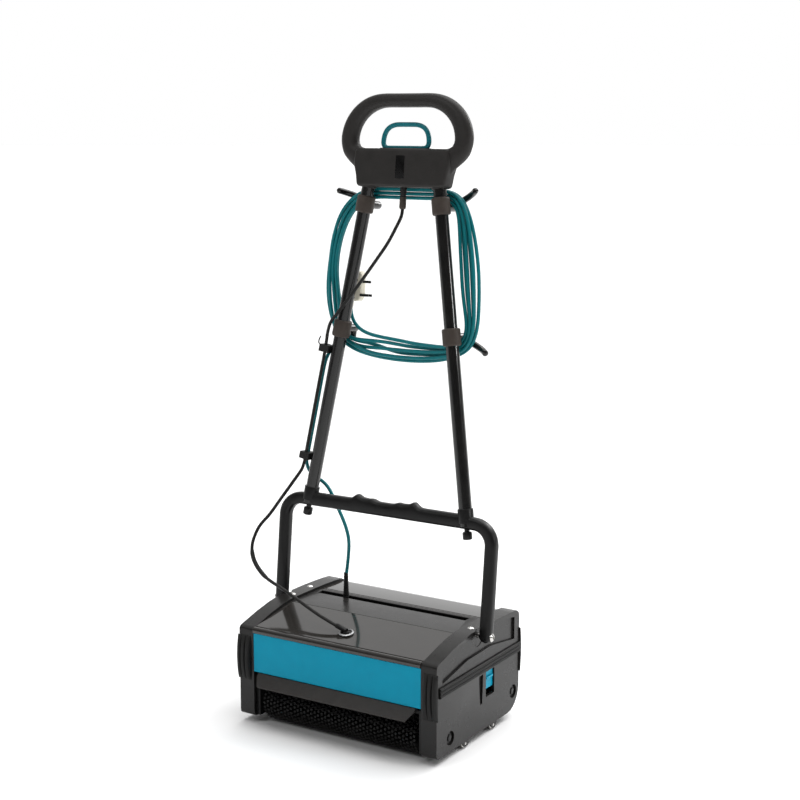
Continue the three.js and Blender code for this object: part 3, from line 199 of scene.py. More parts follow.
def length_of(line: Array) -> float:
    """The length of a line of stations."""
    return float(np.linalg.norm(np.diff(line, axis=0), axis=1).sum())


def evenly(line: Array, step: float, closed: bool = False) -> Array:
    """The line again, its stations an even distance apart by running length.

    Args:
        line: the stations.
        step: the distance wanted between them.
        closed: whether the line comes round to its first station.

    Returns:
        The new stations, without a repeat of the first one on a closed line.
    """
    whole = np.vstack([line, line[:1]]) if closed else line
    run = np.concatenate([[0.0], np.cumsum(np.linalg.norm(np.diff(whole, axis=0), axis=1))])
    count = max(2, int(round(run[-1] / step)) + 1)
    wanted = np.linspace(0.0, run[-1], count)
    out = np.stack([np.interp(wanted, run, whole[:, k]) for k in range(whole.shape[1])], axis=1)
    return out[:-1] if closed else out


def rounded(corners: Array, reach: float | Array, steps: int = 5) -> Array:
    """A closed outline with each corner eased: a quadratic from reach before it to reach after it.

    Args:
        corners: the corners, counter-clockwise.
        reach: how far from each corner its easing starts, one number or one for each corner.
        steps: stations in each eased corner.

    Returns:
        The outline's points.
    """
    c = np.asarray(corners, float)
    r = np.broadcast_to(np.asarray(reach, float), (len(c),))[:, None]
    back, on = np.roll(c, 1, 0) - c, np.roll(c, -1, 0) - c
    enter = c + back / np.linalg.norm(back, axis=1, keepdims=True) * r
    leave = c + on / np.linalg.norm(on, axis=1, keepdims=True) * r
    s = np.linspace(0.0, 1.0, steps)[None, :, None]
    bend = (1 - s) ** 2 * enter[:, None] + 2 * s * (1 - s) * c[:, None] + s**2 * leave[:, None]
    return bend.reshape(-1, c.shape[1])


def squircle(half_a: float | Array, half_b: float | Array, sides: int = 20, power: float = 2.0) -> Array:
    """A section between an ellipse and a box: |a / half_a|^power + |b / half_b|^power = 1."""
    turn = 2 * np.pi * (np.arange(sides) + 0.5) / sides
    c, s = np.cos(turn), np.sin(turn)
    a = np.sign(c) * np.abs(c) ** (2 / power)
    b = np.sign(s) * np.abs(s) ** (2 / power)
    return np.stack([half_a * a, half_b * b], axis=-1)


def eased(share: Array) -> Array:
    """A share from 0 to 1 with a gentle start and end: 3s^2 - 2s^3."""
    s = np.clip(share, 0.0, 1.0)
    return s * s * (3 - 2 * s)


# ---------------------------------------------------------------- surfaces
@dataclass(frozen=True)
class Surface:
    """A closed surface in the making: its points, and its faces grouped by their number of corners."""

    points: Array
    faces: tuple[Array, ...]

    def mirrored(self) -> "Surface":
        """The same surface on the other side: x changes sign and every face runs the other way."""
        return Surface(self.points * np.array([-1.0, 1.0, 1.0]), tuple(f[:, ::-1] for f in self.faces))

    def on(self, side: Side) -> "Surface":
        """This right-hand surface, or its mirror image for the left."""
        return self if side is Side.RIGHT else self.mirrored()

    def at_end(self, end: End) -> "Surface":
        """This front surface, or its mirror image for the rear."""
        if end is End.FRONT:
            return self
        return Surface(self.points * np.array([1.0, -1.0, 1.0]), tuple(f[:, ::-1] for f in self.faces))


def joined(parts: list[Surface]) -> Surface:
    """Several surfaces as one, each with its faces numbered on from the one before."""
    starts = np.cumsum([0] + [len(p.points) for p in parts[:-1]])
    faces = [f + start for p, start in zip(parts, starts) for f in p.faces]
    return Surface(np.vstack([p.points for p in parts]), tuple(faces))


def lattice(rows: Array, loop: bool = False) -> Surface:
    """Rings of points joined into a skin: four neighbours make each face, and the end rings are closed.

    Args:
        rows: ring by ring, the points of each ring in order.
        loop: whether the last ring joins the first, instead of both being closed by a face.

    Returns:
        The surface.
    """
    n, m = rows.shape[:2]
    i = np.arange(n if loop else n - 1)[:, None]
    j = np.arange(m)[None, :]
    over, up = (j + 1) % m, (i + 1) % n
    quads = np.stack([i * m + j, i * m + over, up * m + over, up * m + j], -1).reshape(-1, 4)
    faces = [quads]
    if not loop:
        faces += [np.arange(m)[None, ::-1], (n - 1) * m + np.arange(m)[None]]
    return Surface(rows.reshape(-1, 3), tuple(faces))


def carried(section: Array, path: Array, side: Array, loop: bool = False) -> Surface:
    """A section carried along a path: point = station + a·across + b·up.

    Up is the given side made square to the path there, and across is square to both.

    Args:
        section: the section's (a, b) points, or one such section for each station.
        path: the stations.
        side: the direction, or directions, that b counts along.
        loop: whether the path comes round to its start.

    Returns:
        The surface.
    """
    if loop:
        ahead = np.roll(path, -1, 0) - np.roll(path, 1, 0)
    else:
        ahead = np.gradient(path, axis=0)
    ahead = ahead / np.linalg.norm(ahead, axis=1, keepdims=True)
    up = np.broadcast_to(np.asarray(side, float), path.shape)
    up = up - (up * ahead).sum(1, keepdims=True) * ahead
    up = up / np.linalg.norm(up, axis=1, keepdims=True)
    across = np.cross(ahead, up)
    rows = path[:, None] + section[..., 0:1] * across[:, None] + section[..., 1:2] * up[:, None]
    return lattice(rows, loop)


def spun(profile: Array, foot: Array, axis: Array, sides: int = 28) -> Surface:
    """A turned piece: point = foot + along·axis + radius·(cos·u + sin·v), u and v square to the axis.

    Args:
        profile: (radius, along) from one end to the other.
        foot: where along is nought.
        axis: the direction of the axis.
        sides: how many points go round.

    Returns:
        The surface.
    """
    profile, way = np.asarray(profile, float), np.asarray(axis, float)
    way = way / np.linalg.norm(way)
    rough = np.array([0.0, 0.0, 1.0]) if abs(way[2]) < 0.8 else np.array([0.0, 1.0, 0.0])
    u = np.cross(way, rough)
    u = u / np.linalg.norm(u)
    v = np.cross(way, u)
    turn = 2 * np.pi * np.arange(sides) / sides
    ring = np.cos(turn)[:, None] * u + np.sin(turn)[:, None] * v
    rows = np.asarray(foot, float) + profile[:, 1, None, None] * way + profile[:, 0, None, None] * ring
    return lattice(rows)


def slab(outline: Array, low: float, high: float, edge: float, place: Place, steps: int = 4) -> Surface:
    """A plate with rounded edges: the outline drawn in by edge·(1 - sin a) at a depth of edge·(1 - cos a).

    Args:
        outline: counter-clockwise points in the plate's plane.
        low: where the plate starts, along the place's third way.
        high: where it ends.
        edge: the radius of its edges.
        place: the frame that it is drawn in.
        steps: stations in each rounded edge.

    Returns:
        The surface.
    """
    run = np.roll(outline, -1, 0) - np.roll(outline, 1, 0)
    run = run / np.maximum(np.linalg.norm(run, axis=1, keepdims=True), 1e-12)
    out = np.stack([run[:, 1], -run[:, 0]], -1)
    a = np.linspace(0.0, np.pi / 2, steps + 1)
    inset = edge * (1 - np.sin(a))
    depth = edge * (1 - np.cos(a))
    insets = np.concatenate([inset, inset[::-1]])
    depths = np.concatenate([low + depth, high - depth[::-1]])
    flat = outline[None] - out[None] * insets[:, None, None]
    deep = np.broadcast_to(depths[:, None, None], (*flat.shape[:2], 1))
    return lattice(place.at(np.concatenate([flat, deep], -1)))


def screw(at: Triple, way: Triple, radius: float) -> Surface:
    """A domed screw with a round drive: height falls with the square of the radius, outside the drive.

    Args:
        at: the centre of the seat.
        way: the direction that the head faces.
        radius: the head's radius.

    Returns:
        The surface.
    """
    crown = 0.5 * radius
    dome = np.linspace(0.42, 1.0, 7)
    profile = [(0.0, 0.1 * crown), (0.34 * radius, 0.1 * crown), (0.37 * radius, 0.8 * crown)]
    profile += [(r * radius, crown * (1 - 0.9 * r * r)) for r in dome]
    profile += [(radius, -0.002), (0.0, -0.002)]
    return spun(np.array(profile), np.array(at), np.array(way), 20)


# ---------------------------------------------------------------- finishes
@dataclass(frozen=True)
class Finish:
    """What a surface is made of: its colours, its gloss, and how far it is grained, rubbed and dusty.

    Colours are linear. Grain is the size of the moulded texture in metres and depth its height.
    """

    slot: str
    colour: Triple
    tone: Triple
    rough: float
    rough_swing: float = 0.08
    metal: float = 0.0
    coat: float = 0.0
    grain: float = 0.0006
    depth: float = 0.00004
    rubbed: float = 0.15
    dust: float = 0.05
    drawn: bool = False
    sheen_level: float = 0.22


CHARCOAL = Finish("charcoal", (0.017, 0.0155, 0.0145), (0.022, 0.02, 0.019), 0.46)
CASING = Finish("charcoal", (0.008, 0.0075, 0.0072), (0.011, 0.0104, 0.01), 0.3, coat=0.1)
SATIN_BLACK = Finish("satin_black", (0.005, 0.005, 0.0052), (0.0078, 0.0078, 0.008), 0.34)
SMOKE = Finish(
    "smoke_gloss", (0.02, 0.018, 0.016), (0.024, 0.0215, 0.0195), 0.1, 0.03, coat=0.7,
    grain=0.004, depth=0.000008, rubbed=0.05, dust=0.03,
)
TEAL_PANEL = Finish(
    "teal_panel", (0.0003, 0.28, 0.434), (0.0005, 0.305, 0.465), 0.33, 0.05, coat=0.0,
    depth=0.00001, rubbed=0.03, dust=0.02, sheen_level=0.1,
)
TEAL_SWITCH = Finish("teal_switch", (0.002, 0.125, 0.15), (0.003, 0.148, 0.175), 0.38, rubbed=0.08)
TEAL_CORD = Finish(
    "teal_cord", (0.0015, 0.145, 0.165), (0.003, 0.175, 0.195), 0.42, grain=0.0011, depth=0.00006,
    rubbed=0.0, dust=0.03,
)
LEAD_SHEATH = Finish(
    "lead_sheath", (0.0085, 0.0085, 0.0082), (0.013, 0.0128, 0.012), 0.45, grain=0.0011, depth=0.00006,
    rubbed=0.0,
)
CLAMP_BROWN = Finish("clamp_brown", (0.042, 0.033, 0.0275), (0.054, 0.043, 0.036), 0.55, depth=0.00006)
TUBE_BLACK = Finish(
    "tube_black", (0.0035, 0.0035, 0.0036), (0.0065, 0.0063, 0.006), 0.22, 0.1, coat=0.5,
    grain=0.0016, depth=0.00005, rubbed=0.05,
)
RUBBER = Finish("rubber_black", (0.0085, 0.0085, 0.0085), (0.0125, 0.0125, 0.012), 0.58, depth=0.00006)
BRISTLE = Finish(
    "bristle_black", (0.007, 0.007, 0.0072), (0.02, 0.0197, 0.0192), 0.4, rubbed=0.0, sheen_level=0.45,
)
STEEL = Finish(
    "steel", (0.56, 0.55, 0.53), (0.7, 0.69, 0.67), 0.24, metal=1.0, depth=0.00001,
    rubbed=0.0, drawn=True,
)
ALUMINIUM = Finish(
    "aluminium", (0.34, 0.345, 0.35), (0.44, 0.445, 0.45), 0.38, metal=1.0, depth=0.00002,
    rubbed=0.0, drawn=True,
)
DRUM_GREY = Finish("drum_grey", (0.17, 0.172, 0.174), (0.23, 0.232, 0.234), 0.42, metal=0.7, drawn=True)
LIP_GREY = Finish("lip_grey", (0.027, 0.0245, 0.023), (0.033, 0.03, 0.028), 0.34)
LABEL_BLACK = Finish(
    "rubber_black", (0.0018, 0.0018, 0.0019), (0.0026, 0.0026, 0.0027), 0.28, grain=0.003, sheen_level=0.12,
)
IVORY = Finish("ivory", (0.7, 0.66, 0.54), (0.78, 0.74, 0.62), 0.42, rubbed=0.0)


class FinishShop:
    """Builds the shared effects once, and one material for each finish."""

    def __init__(self) -> None:
        """Makes the shared node groups and starts with no materials."""
        self.made: dict[Finish, Material] = {}
        self.grain = self._grain()
        self.rub = self._rub()
        self.dust = self._dust()

    @staticmethod
    def _group(name: str, inputs: dict[str, float], outputs: list[str]) -> Tree:
        """A new node group.

        Args:
            name: the group's name.
            inputs: its number inputs and what they start at, after the place it always reads.
            outputs: its number outputs.

        Returns:
            The group's tree, with its input and output nodes in it.
        """
        tree = bpy.data.node_groups.new(name, "ShaderNodeTree")
        tree.interface.new_socket("Place", in_out="INPUT", socket_type="NodeSocketVector")
        for word, value in inputs.items():
            socket = tree.interface.new_socket(word, in_out="INPUT", socket_type="NodeSocketFloat")
            socket.default_value = value
        for word in outputs:
            tree.interface.new_socket(word, in_out="OUTPUT", socket_type="NodeSocketFloat")
        tree.nodes.new("NodeGroupInput").name = "in"
        tree.nodes.new("NodeGroupOutput").name = "out"
        return tree

    @staticmethod
    def _noise(tree: Tree, place: Socket, scale: float, detail: float) -> Node:
        """A cloud of values over the surface, this many to the metre."""
        node = tree.nodes.new("ShaderNodeTexNoise")
        node.inputs["Scale"].default_value = scale
        node.inputs["Detail"].default_value = detail
        tree.links.new(place, node.inputs["Vector"])
        return node

    @staticmethod
    def _sum(tree: Tree, what: str, a: object, b: object) -> Socket:
        """A sum, product or difference of two values.

        Args:
            tree: the tree to put it in.
            what: Blender's name of the operation.
            a: a socket or a number.
            b: a socket or a number.

        Returns:
            The socket with the result.
        """
        node = tree.nodes.new("ShaderNodeMath")
        node.operation = what
        for slot, value in zip(node.inputs, (a, b)):
            if isinstance(value, (int, float)):
                slot.default_value = value
            else:
                tree.links.new(value, slot)
        return node.outputs[0]

    def _grain(self) -> Tree:
        """Moulded grain: height = fine noise, and a broad mottle that shifts colour and gloss a little."""
        tree = self._group("moulded_grain", {"Fineness": 1600.0}, ["Height", "Mottle"])
        inside, out = tree.nodes["in"], tree.nodes["out"]
        fine = self._noise(tree, inside.outputs["Place"], 1600.0, 3.0)
        tree.links.new(inside.outputs["Fineness"], fine.inputs["Scale"])
        tree.links.new(fine.outputs["Fac"], out.inputs["Height"])
        broad = self._noise(tree, inside.outputs["Place"], 38.0, 4.0)
        middle = self._noise(tree, inside.outputs["Place"], 260.0, 2.0)
        most = self._sum(tree, "MULTIPLY", broad.outputs["Fac"], 0.65)
        both = self._sum(tree, "ADD", most, self._sum(tree, "MULTIPLY", middle.outputs["Fac"], 0.35))
        spread = self._sum(tree, "MULTIPLY", self._sum(tree, "SUBTRACT", both, 0.33), 3.0)
        clamp = tree.nodes.new("ShaderNodeClamp")
        tree.links.new(spread, clamp.inputs["Value"])
        tree.links.new(clamp.outputs[0], out.inputs["Mottle"])
        return tree

    def _rub(self) -> Tree:
        """Rubbed edges: sharp convex places, broken up by noise, times the amount."""
        tree = self._group("rubbed_edges", {"Amount": 0.2}, ["Mask"])
        inside, out = tree.nodes["in"], tree.nodes["out"]
        shape = tree.nodes.new("ShaderNodeNewGeometry")
        past = self._sum(tree, "SUBTRACT", shape.outputs["Pointiness"], 0.53)
        edge = self._sum(tree, "MULTIPLY", past, 9.0)
        broken = self._noise(tree, inside.outputs["Place"], 420.0, 3.0)
        worn = self._sum(tree, "MULTIPLY", edge, broken.outputs["Fac"])
        clamp = tree.nodes.new("ShaderNodeClamp")
        tree.links.new(self._sum(tree, "MULTIPLY", worn, inside.outputs["Amount"]), clamp.inputs["Value"])
        tree.links.new(clamp.outputs[0], out.inputs["Mask"])
        return tree

    def _dust(self) -> Tree:
        """Settled dust: how far the surface looks up, times a thin cloud, times the amount."""
        tree = self._group("settled_dust", {"Amount": 0.1}, ["Mask"])
        inside, out = tree.nodes["in"], tree.nodes["out"]
        shape = tree.nodes.new("ShaderNodeNewGeometry")
        parts = tree.nodes.new("ShaderNodeSeparateXYZ")
        tree.links.new(shape.outputs["Normal"], parts.inputs[0])
        upward = tree.nodes.new("ShaderNodeClamp")
        tree.links.new(parts.outputs["Z"], upward.inputs["Value"])
        cloud = self._noise(tree, inside.outputs["Place"], 90.0, 5.0)
        lying = self._sum(tree, "MULTIPLY", upward.outputs[0], cloud.outputs["Fac"])
        tree.links.new(self._sum(tree, "MULTIPLY", lying, inside.outputs["Amount"]), out.inputs["Mask"])
        return tree

    def _effect(self, tree: Tree, group: Tree, place: Socket, amount: float) -> Node:
        """One of the shared effects placed in a material.

        Args:
            tree: the material's tree.
            group: the effect.
            place: the socket with the point on the piece.
            amount: what its number input is set to.

        Returns:
            The group's node.
        """
        node = tree.nodes.new("ShaderNodeGroup")
        node.node_tree = group
        node.inputs[1].default_value = amount
        tree.links.new(place, node.inputs["Place"])
        return node

    @staticmethod
    def _mix(tree: Tree, share: Socket, a: object, b: Triple) -> Socket:
        """A colour between a and b by a share.

        Args:
            tree: the material's tree.
            share: the socket with the share.
            a: a colour, or a socket with one.
            b: the other colour.

        Returns:
            The socket with the colour.
        """
        node = tree.nodes.new("ShaderNodeMix")
        node.data_type = "RGBA"
        tree.links.new(share, node.inputs["Factor"])
        if isinstance(a, tuple):
            node.inputs[6].default_value = (*a, 1.0)
        else:
            tree.links.new(a, node.inputs[6])
        node.inputs[7].default_value = (*b, 1.0)
        return node.outputs[2]

    def material(self, finish: Finish) -> Material:
        """The material of a finish, made on first use.

        Args:
            finish: the finish.

        Returns:
            Its material.
        """
        if finish in self.made:
            return self.made[finish]
        material = bpy.data.materials.new(f"{finish.slot}_{len(self.made)}")
        material.use_nodes = True
        tree = material.node_tree
        shader = tree.nodes["Principled BSDF"]
        shader.inputs["Metallic"].default_value = finish.metal
        shader.inputs["Coat Weight"].default_value = finish.coat
        shader.inputs["Coat Roughness"].default_value = 0.06
        shader.inputs["Specular IOR Level"].default_value = 0.5 if finish.metal else finish.sheen_level
        place = tree.nodes.new("ShaderNodeTexCoord").outputs["Object"]
        if finish.drawn:
            stretch = tree.nodes.new("ShaderNodeMapping")
            stretch.inputs["Scale"].default_value = (0.08, 1.0, 1.0)
            tree.links.new(place, stretch.inputs["Vector"])
            place = stretch.outputs[0]
        grain = self._effect(tree, self.grain, place, 1.0 / finish.grain)
        colour = self._mix(tree, grain.outputs["Mottle"], finish.colour, finish.tone)
        if finish.rubbed > 0:
            rub = self._effect(tree, self.rub, place, finish.rubbed)
            paler = tuple(min(1.0, 0.05 + 1.9 * c) for c in finish.tone)
            colour = self._mix(tree, rub.outputs["Mask"], colour, paler)
        dust = self._effect(tree, self.dust, place, finish.dust)
        colour = self._mix(tree, dust.outputs["Mask"], colour, (0.30, 0.29, 0.27))
        tree.links.new(colour, shader.inputs["Base Color"])
        swing = tree.nodes.new("ShaderNodeMapRange")
        swing.inputs["To Min"].default_value = finish.rough - finish.rough_swing / 2
        swing.inputs["To Max"].default_value = finish.rough + finish.rough_swing / 2
        tree.links.new(grain.outputs["Mottle"], swing.inputs["Value"])
        tree.links.new(swing.outputs[0], shader.inputs["Roughness"])
        bump = tree.nodes.new("ShaderNodeBump")
        bump.inputs["Strength"].default_value = 1.0
        bump.inputs["Distance"].default_value = finish.depth
        tree.links.new(grain.outputs["Height"], bump.inputs["Height"])
        tree.links.new(bump.outputs[0], shader.inputs["Normal"])
        self.made[finish] = material
        return material


SHOP = FinishShop()


# ---------------------------------------------------------------- putting pieces in
def tidy_mesh(mesh: bpy.types.Mesh, flat: bool) -> None:
    """Merges a mesh's doubles, turns its faces outwards and shades it smooth except across corners.

    Args:
        mesh: the mesh.
        flat: whether faces that lie in one plane are made one face.
    """
    work = bmesh.new()
    work.from_mesh(mesh)
    bmesh.ops.remove_doubles(work, verts=work.verts, dist=2e-6)
    if flat:
        bmesh.ops.dissolve_limit(work, angle_limit=math.radians(0.6), verts=work.verts, edges=work.edges)
    bmesh.ops.recalc_face_normals(work, faces=work.faces)
    work.to_mesh(mesh)
    work.free()
    mesh.polygons.foreach_set("use_smooth", np.ones(len(mesh.polygons), bool))
    mesh.set_sharp_from_angle(angle=math.radians(38.0))


def finished(obj: Piece, finish: Finish, body: str, stands_for: tuple[str, ...] = ()) -> Piece:
    """Gives a piece its finish, hangs it on its body and reports it.

    Args:
        obj: the piece.
        finish: its finish.
        body: the body that it moves with.
        stands_for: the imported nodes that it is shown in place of.

    Returns:
        The piece.
    """
    obj.data.materials.clear()
    obj.data.materials.append(SHOP.material(finish))
    if body:
        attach(obj, body)
    if stands_for:
        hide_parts(*stands_for)
    LOG.info("%s: %d faces", obj.name, len(obj.data.polygons))
    return obj


def put(surface: Surface, name: str, finish: Finish, body: str, stands_for: tuple[str, ...] = ()) -> Piece:
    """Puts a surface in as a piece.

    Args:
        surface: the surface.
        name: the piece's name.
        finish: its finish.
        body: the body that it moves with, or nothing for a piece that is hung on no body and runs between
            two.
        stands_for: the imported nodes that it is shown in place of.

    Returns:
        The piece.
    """
    mesh = bpy.data.meshes.new(name)
    faces = [tuple(face) for group in surface.faces for face in group.tolist()]
    mesh.from_pydata(surface.points.tolist(), [], faces)
    tidy_mesh(mesh, False)
    obj = bpy.data.objects.new(name, mesh)
    bpy.context.scene.collection.objects.link(obj)
    return finished(obj, finish, body, stands_for)


def softened(obj: Piece, width: float, segments: int = 2) -> Piece:
    """Rounds a piece's corners by a width, keeping its flat faces flat."""
    bevel = obj.modifiers.new("rounded_corners", "BEVEL")
    bevel.width = width
    bevel.segments = segments
    bevel.limit_method = "ANGLE"
    bevel.angle_limit = math.radians(32.0)
    bevel.harden_normals = True
    bevel.use_clamp_overlap = True
    return obj


def dressed(node: str, finish: Finish, width: float, segments: int = 2) -> Piece:
    """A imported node's own shape, merged into one skin, with rounded corners and its finish.

    Args:
        node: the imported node.
        finish: its finish.
        width: the width of the rounding.
        segments: how finely it is rounded.

    Returns:
        The piece that is shown in place of the node.
    """
    source = frame["nodes"][node]
    mesh = source.data.copy()
    mesh.name = f"{node}_skin"
    tidy_mesh(mesh, True)
    obj = bpy.data.objects.new(f"{node}_skin", mesh)
    bpy.context.scene.collection.objects.link(obj)
    finished(obj, finish, source["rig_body"], (node,))
    return softened(obj, width, segments)


def coated(node: str, finish: Finish) -> None:
    """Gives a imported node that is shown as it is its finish."""
    obj = frame["nodes"][node]
    obj.data.materials.clear()
    obj.data.materials.append(SHOP.material(finish))
    LOG.info("%s: as packed", node)


# ---------------------------------------------------------------- cords
@dataclass
class Cords:
    """The mains cord, wound on the hooks, and the lead from the control pod down to the front lid."""

    mains_radius: float = 0.0035
    lead_radius: float = 0.00325
    front_layer: float = 0.0222
    back_layer: float = 0.0298
    edge_gap: float = 0.0038
    turns: int = 6
    stations: int = 32
    shift: float = 2.0
    relaxing: int = 12
    lag: float = 0.75
    mains_step: float = 0.005
    free_step: float = 0.004
    sleeve_heights: tuple[float, float] = (0.262, 0.312)
    sleeve_inner_x: float = -0.19
    sleeve_wall: float = 0.0011
    pin_room: float = 0.017
    plug_edge: float = 0.0035
    plug_boot_foot: Triple = (-0.1215, 0.5865, 0.026)
    pin_half: float = 0.0025
    pin_root: float = 0.002
    pin_behind: float = 0.0275

    # Each pin of the plug: how high along the handle, and how far from the middle layer.
    PINS = ((0.614, -0.0055), (0.614, 0.0055), (0.640, 0.0))
    # The boots and collars that are turned: radius and along, in metres.
    PLUG_BOOT = ((0.0, 0.0), (0.0039, 0.0), (0.0043, 0.004), (0.0056, 0.012), (0.0056, 0.016), (0.0, 0.016))
    RELIEF_COLLAR = ((0.0, 0.0), (0.0066, 0.0), (0.0066, 0.007), (0.0059, 0.0082), (0.0, 0.0082))
    GLAND_SLEEVE = (
        (0.0, 0.0), (0.0048, 0.0), (0.0058, 0.0012), (0.0064, 0.004), (0.0064, 0.0215),
        (0.0058, 0.0225), (0.0, 0.0225),
    )

    # Across, behind and along, in millimetres, from the pod down to where the lead leaves the handle.
    LEAD_ON_HANDLE = (
        (0, 0, 782.5), (-0.4, -0.4, 772), (-2.5, -2.5, 762), (-9, -6, 745), (-22, -10, 717),
        (-43, -14, 684), (-65, -17, 652), (-95.94, -20.5, 609), (-117.98, -22.5, 580),
        (-136.99, -18, 560), (-147.43, -11.5, 541), (-151.49, -9, 520), (-153.61, -9, 503),
        (-161.45, -9, 453.99), (-169.47, -9, 403.92), (-178.75, -9, 345.92), (-187.86, -9, 289),
        (-189.3, -9, 280),
    )
    # The same for the mains cord, from where it leaves the handle up to the coil.
    MAINS_ON_HANDLE = (
        (-192.3, 3, 280), (-190.86, 3, 289), (-181.75, 3, 345.92), (-172.47, 3, 403.92),
        (-164.45, 3, 453.99), (-160.27, 3, 480.1), (-156.17, 5.6, 497), (-152.2, 15, 508),
        (-149.6, 23.8, 518.5), (-150.6, 28.6, 530), (-155.2, 29.8, 543),
    )
    # From the coil's inner edge up to the plug.
    COIL_TO_PLUG = (
        (30, 22.4, 529), (0, 23, 532.2), (-30, 24.2, 534.6), (-58, 25.6, 537.2), (-84, 26, 541.8),
        (-104, 26, 551), (-117, 26, 566), (-122.5, 26, 583), (-122, 26, 596),
    )
    # X, y and z in millimetres between the handle and the base.
    LEAD_TO_BASE = (
        (-189.3, 20.31, 483.41), (-192.06, 15.91, 469.62), (-204.05, 1.92, 444.64),
        (-224.05, -12.08, 410.66), (-242.05, -25.07, 379.7), (-262.04, -36.06, 351.73),
        (-268.03, -50.05, 317.78), (-256.03, -60.04, 290.82), (-225.02, -68.03, 265.87),
        (-182.02, -76.03, 251.91), (-138.01, -86.02, 239.95), (-98.01, -98.01, 229.98),
        (-68, -105, 222.01), (-45, -108.4, 216.02), (-27, -110.2, 210.93),
    )
    MAINS_TO_BASE = (
        (-192.3, 32.25, 482.15), (-192.3, 32.6, 472), (-187.5, 36.4, 459.3), (-176.5, 42.6, 449.3),
        (-163, 46.6, 441.6), (-150, 46.2, 431.5), (-138.6, 43.6, 416.5),
        (-126.02, 43, 393.97), (-113.01, 48, 361.98), (-106.01, 52, 329.99), (-107, 52, 299.99),
        (-110, 51, 270), (-111, 50.5, 262.2), (-111.6, 50.2, 256),
    )
    # The coil's inner and outer edges across and along, from the bottom round by the left.
    INNER = (
        (0, 531.5), (-40, 531.5), (-80, 531.5), (-110, 532), (-130, 540), (-138.5, 562), (-142, 590),
        (-148, 620), (-154, 650), (-155, 680), (-151, 710), (-142.5, 740), (-130, 767), (-114, 786.5),
        (-98, 797), (-78, 800.5), (-40, 800.5), (0, 800.5), (40, 800.5), (76, 800.5), (97, 793.5),
        (105.5, 776), (109.5, 750), (113.5, 715), (118.5, 675), (124, 635), (131, 600), (137.5, 568),
        (131.5, 541), (110, 531.5), (80, 531), (40, 531.5),
    )
    OUTER = (
        (0, 491), (-46, 493), (-88, 498.5), (-122, 508), (-148, 524), (-166, 552), (-178, 585),
        (-184, 618), (-184.5, 650), (-182, 681), (-179, 714), (-171, 748), (-157, 777), (-136, 799),
        (-112, 814.5), (-84, 822.5), (-42, 823.5), (0, 823.5), (42, 823.5), (82, 822.5), (111, 811),
        (128, 786), (140, 756), (150.5, 718), (158.5, 676), (162.5, 635), (164, 598), (162.5, 562),
        (149, 526), (119, 508.5), (84, 497.5), (43, 492.5),
    )
    # How far the back layer lies out from the front one, as a share of the rows' distance.
    OFFSET_SHARE = (
        0.45, 0.45, 0.45, 0.42, 0.40, 0.38, 0.35, 0.33, 0.32, 0.32, 0.30, 0.25, 0.18, 0.10, 0.0, 0.0,
        0.0, 0.0, 0.0, 0.0, 0.05, 0.15, 0.25, 0.32, 0.35, 0.38, 0.40, 0.42, 0.45, 0.45, 0.45, 0.45,
    )
    # How close the rows lie, as a share of the room that they have.
    CLOSENESS = (
        1, 1, 1, 0.98, 0.94, 0.88, 0.82, 0.78, 0.76, 0.78, 0.82, 0.88, 0.94, 1, 1, 1,
        1, 1, 1, 1, 1, 1, 0.97, 0.95, 0.93, 0.93, 0.94, 0.96, 1, 1, 1, 1,
    )

    @staticmethod
    def _round(values: Array, at: Array) -> Array:
        """Values read smoothly round a closed ring of stations: each goes with its own station number."""
        table = np.asarray(values, float).reshape(len(values), -1)
        ring = 100.0 * np.pi * np.arange(len(table)) / len(table)
        steady = np.column_stack([table, 50.0 * np.cos(2 * ring / 50), 50.0 * np.sin(2 * ring / 50)])
        fine = through(steady if table.shape[1] == 1 else table, True, 8)
        fine = np.vstack([fine, fine[:1]])
        places = np.arange(len(fine)) / 8
        turn = np.mod(at, len(values))
        return np.stack([np.interp(turn, places, fine[:, k]) for k in range(fine.shape[1])], axis=1)

    def _slot_offsets(self, at: Array, band: Array) -> Array:
        """Each of the six slots' distance from the coil's inner edge at each station, in metres."""
        share = self._round(self.OFFSET_SHARE, at)[:, 0]
        close = self._round(self.CLOSENESS, at)[:, 0]
        room = band - 2 * self.edge_gap
        pitch = room / (2 + share) * close
        back = share * pitch
        row, behind = np.array([2, 2, 1, 1, 0, 0]), np.array([1, 0, 0, 1, 1, 0])
        offsets = self.edge_gap + row * pitch[:, None] + behind * back[:, None]
        offsets[:, 0] = band - self.edge_gap
        return offsets

    @staticmethod
    def _relaxed(line: Array, passes: int) -> Array:
        """The line with its inner points drawn to the middle of their neighbours, once each pass."""
        eased_line = line.copy()
        for _ in range(passes):
            eased_line[1:-1] = (eased_line[:-2] + 2 * eased_line[1:-1] + eased_line[2:]) / 4
        return eased_line

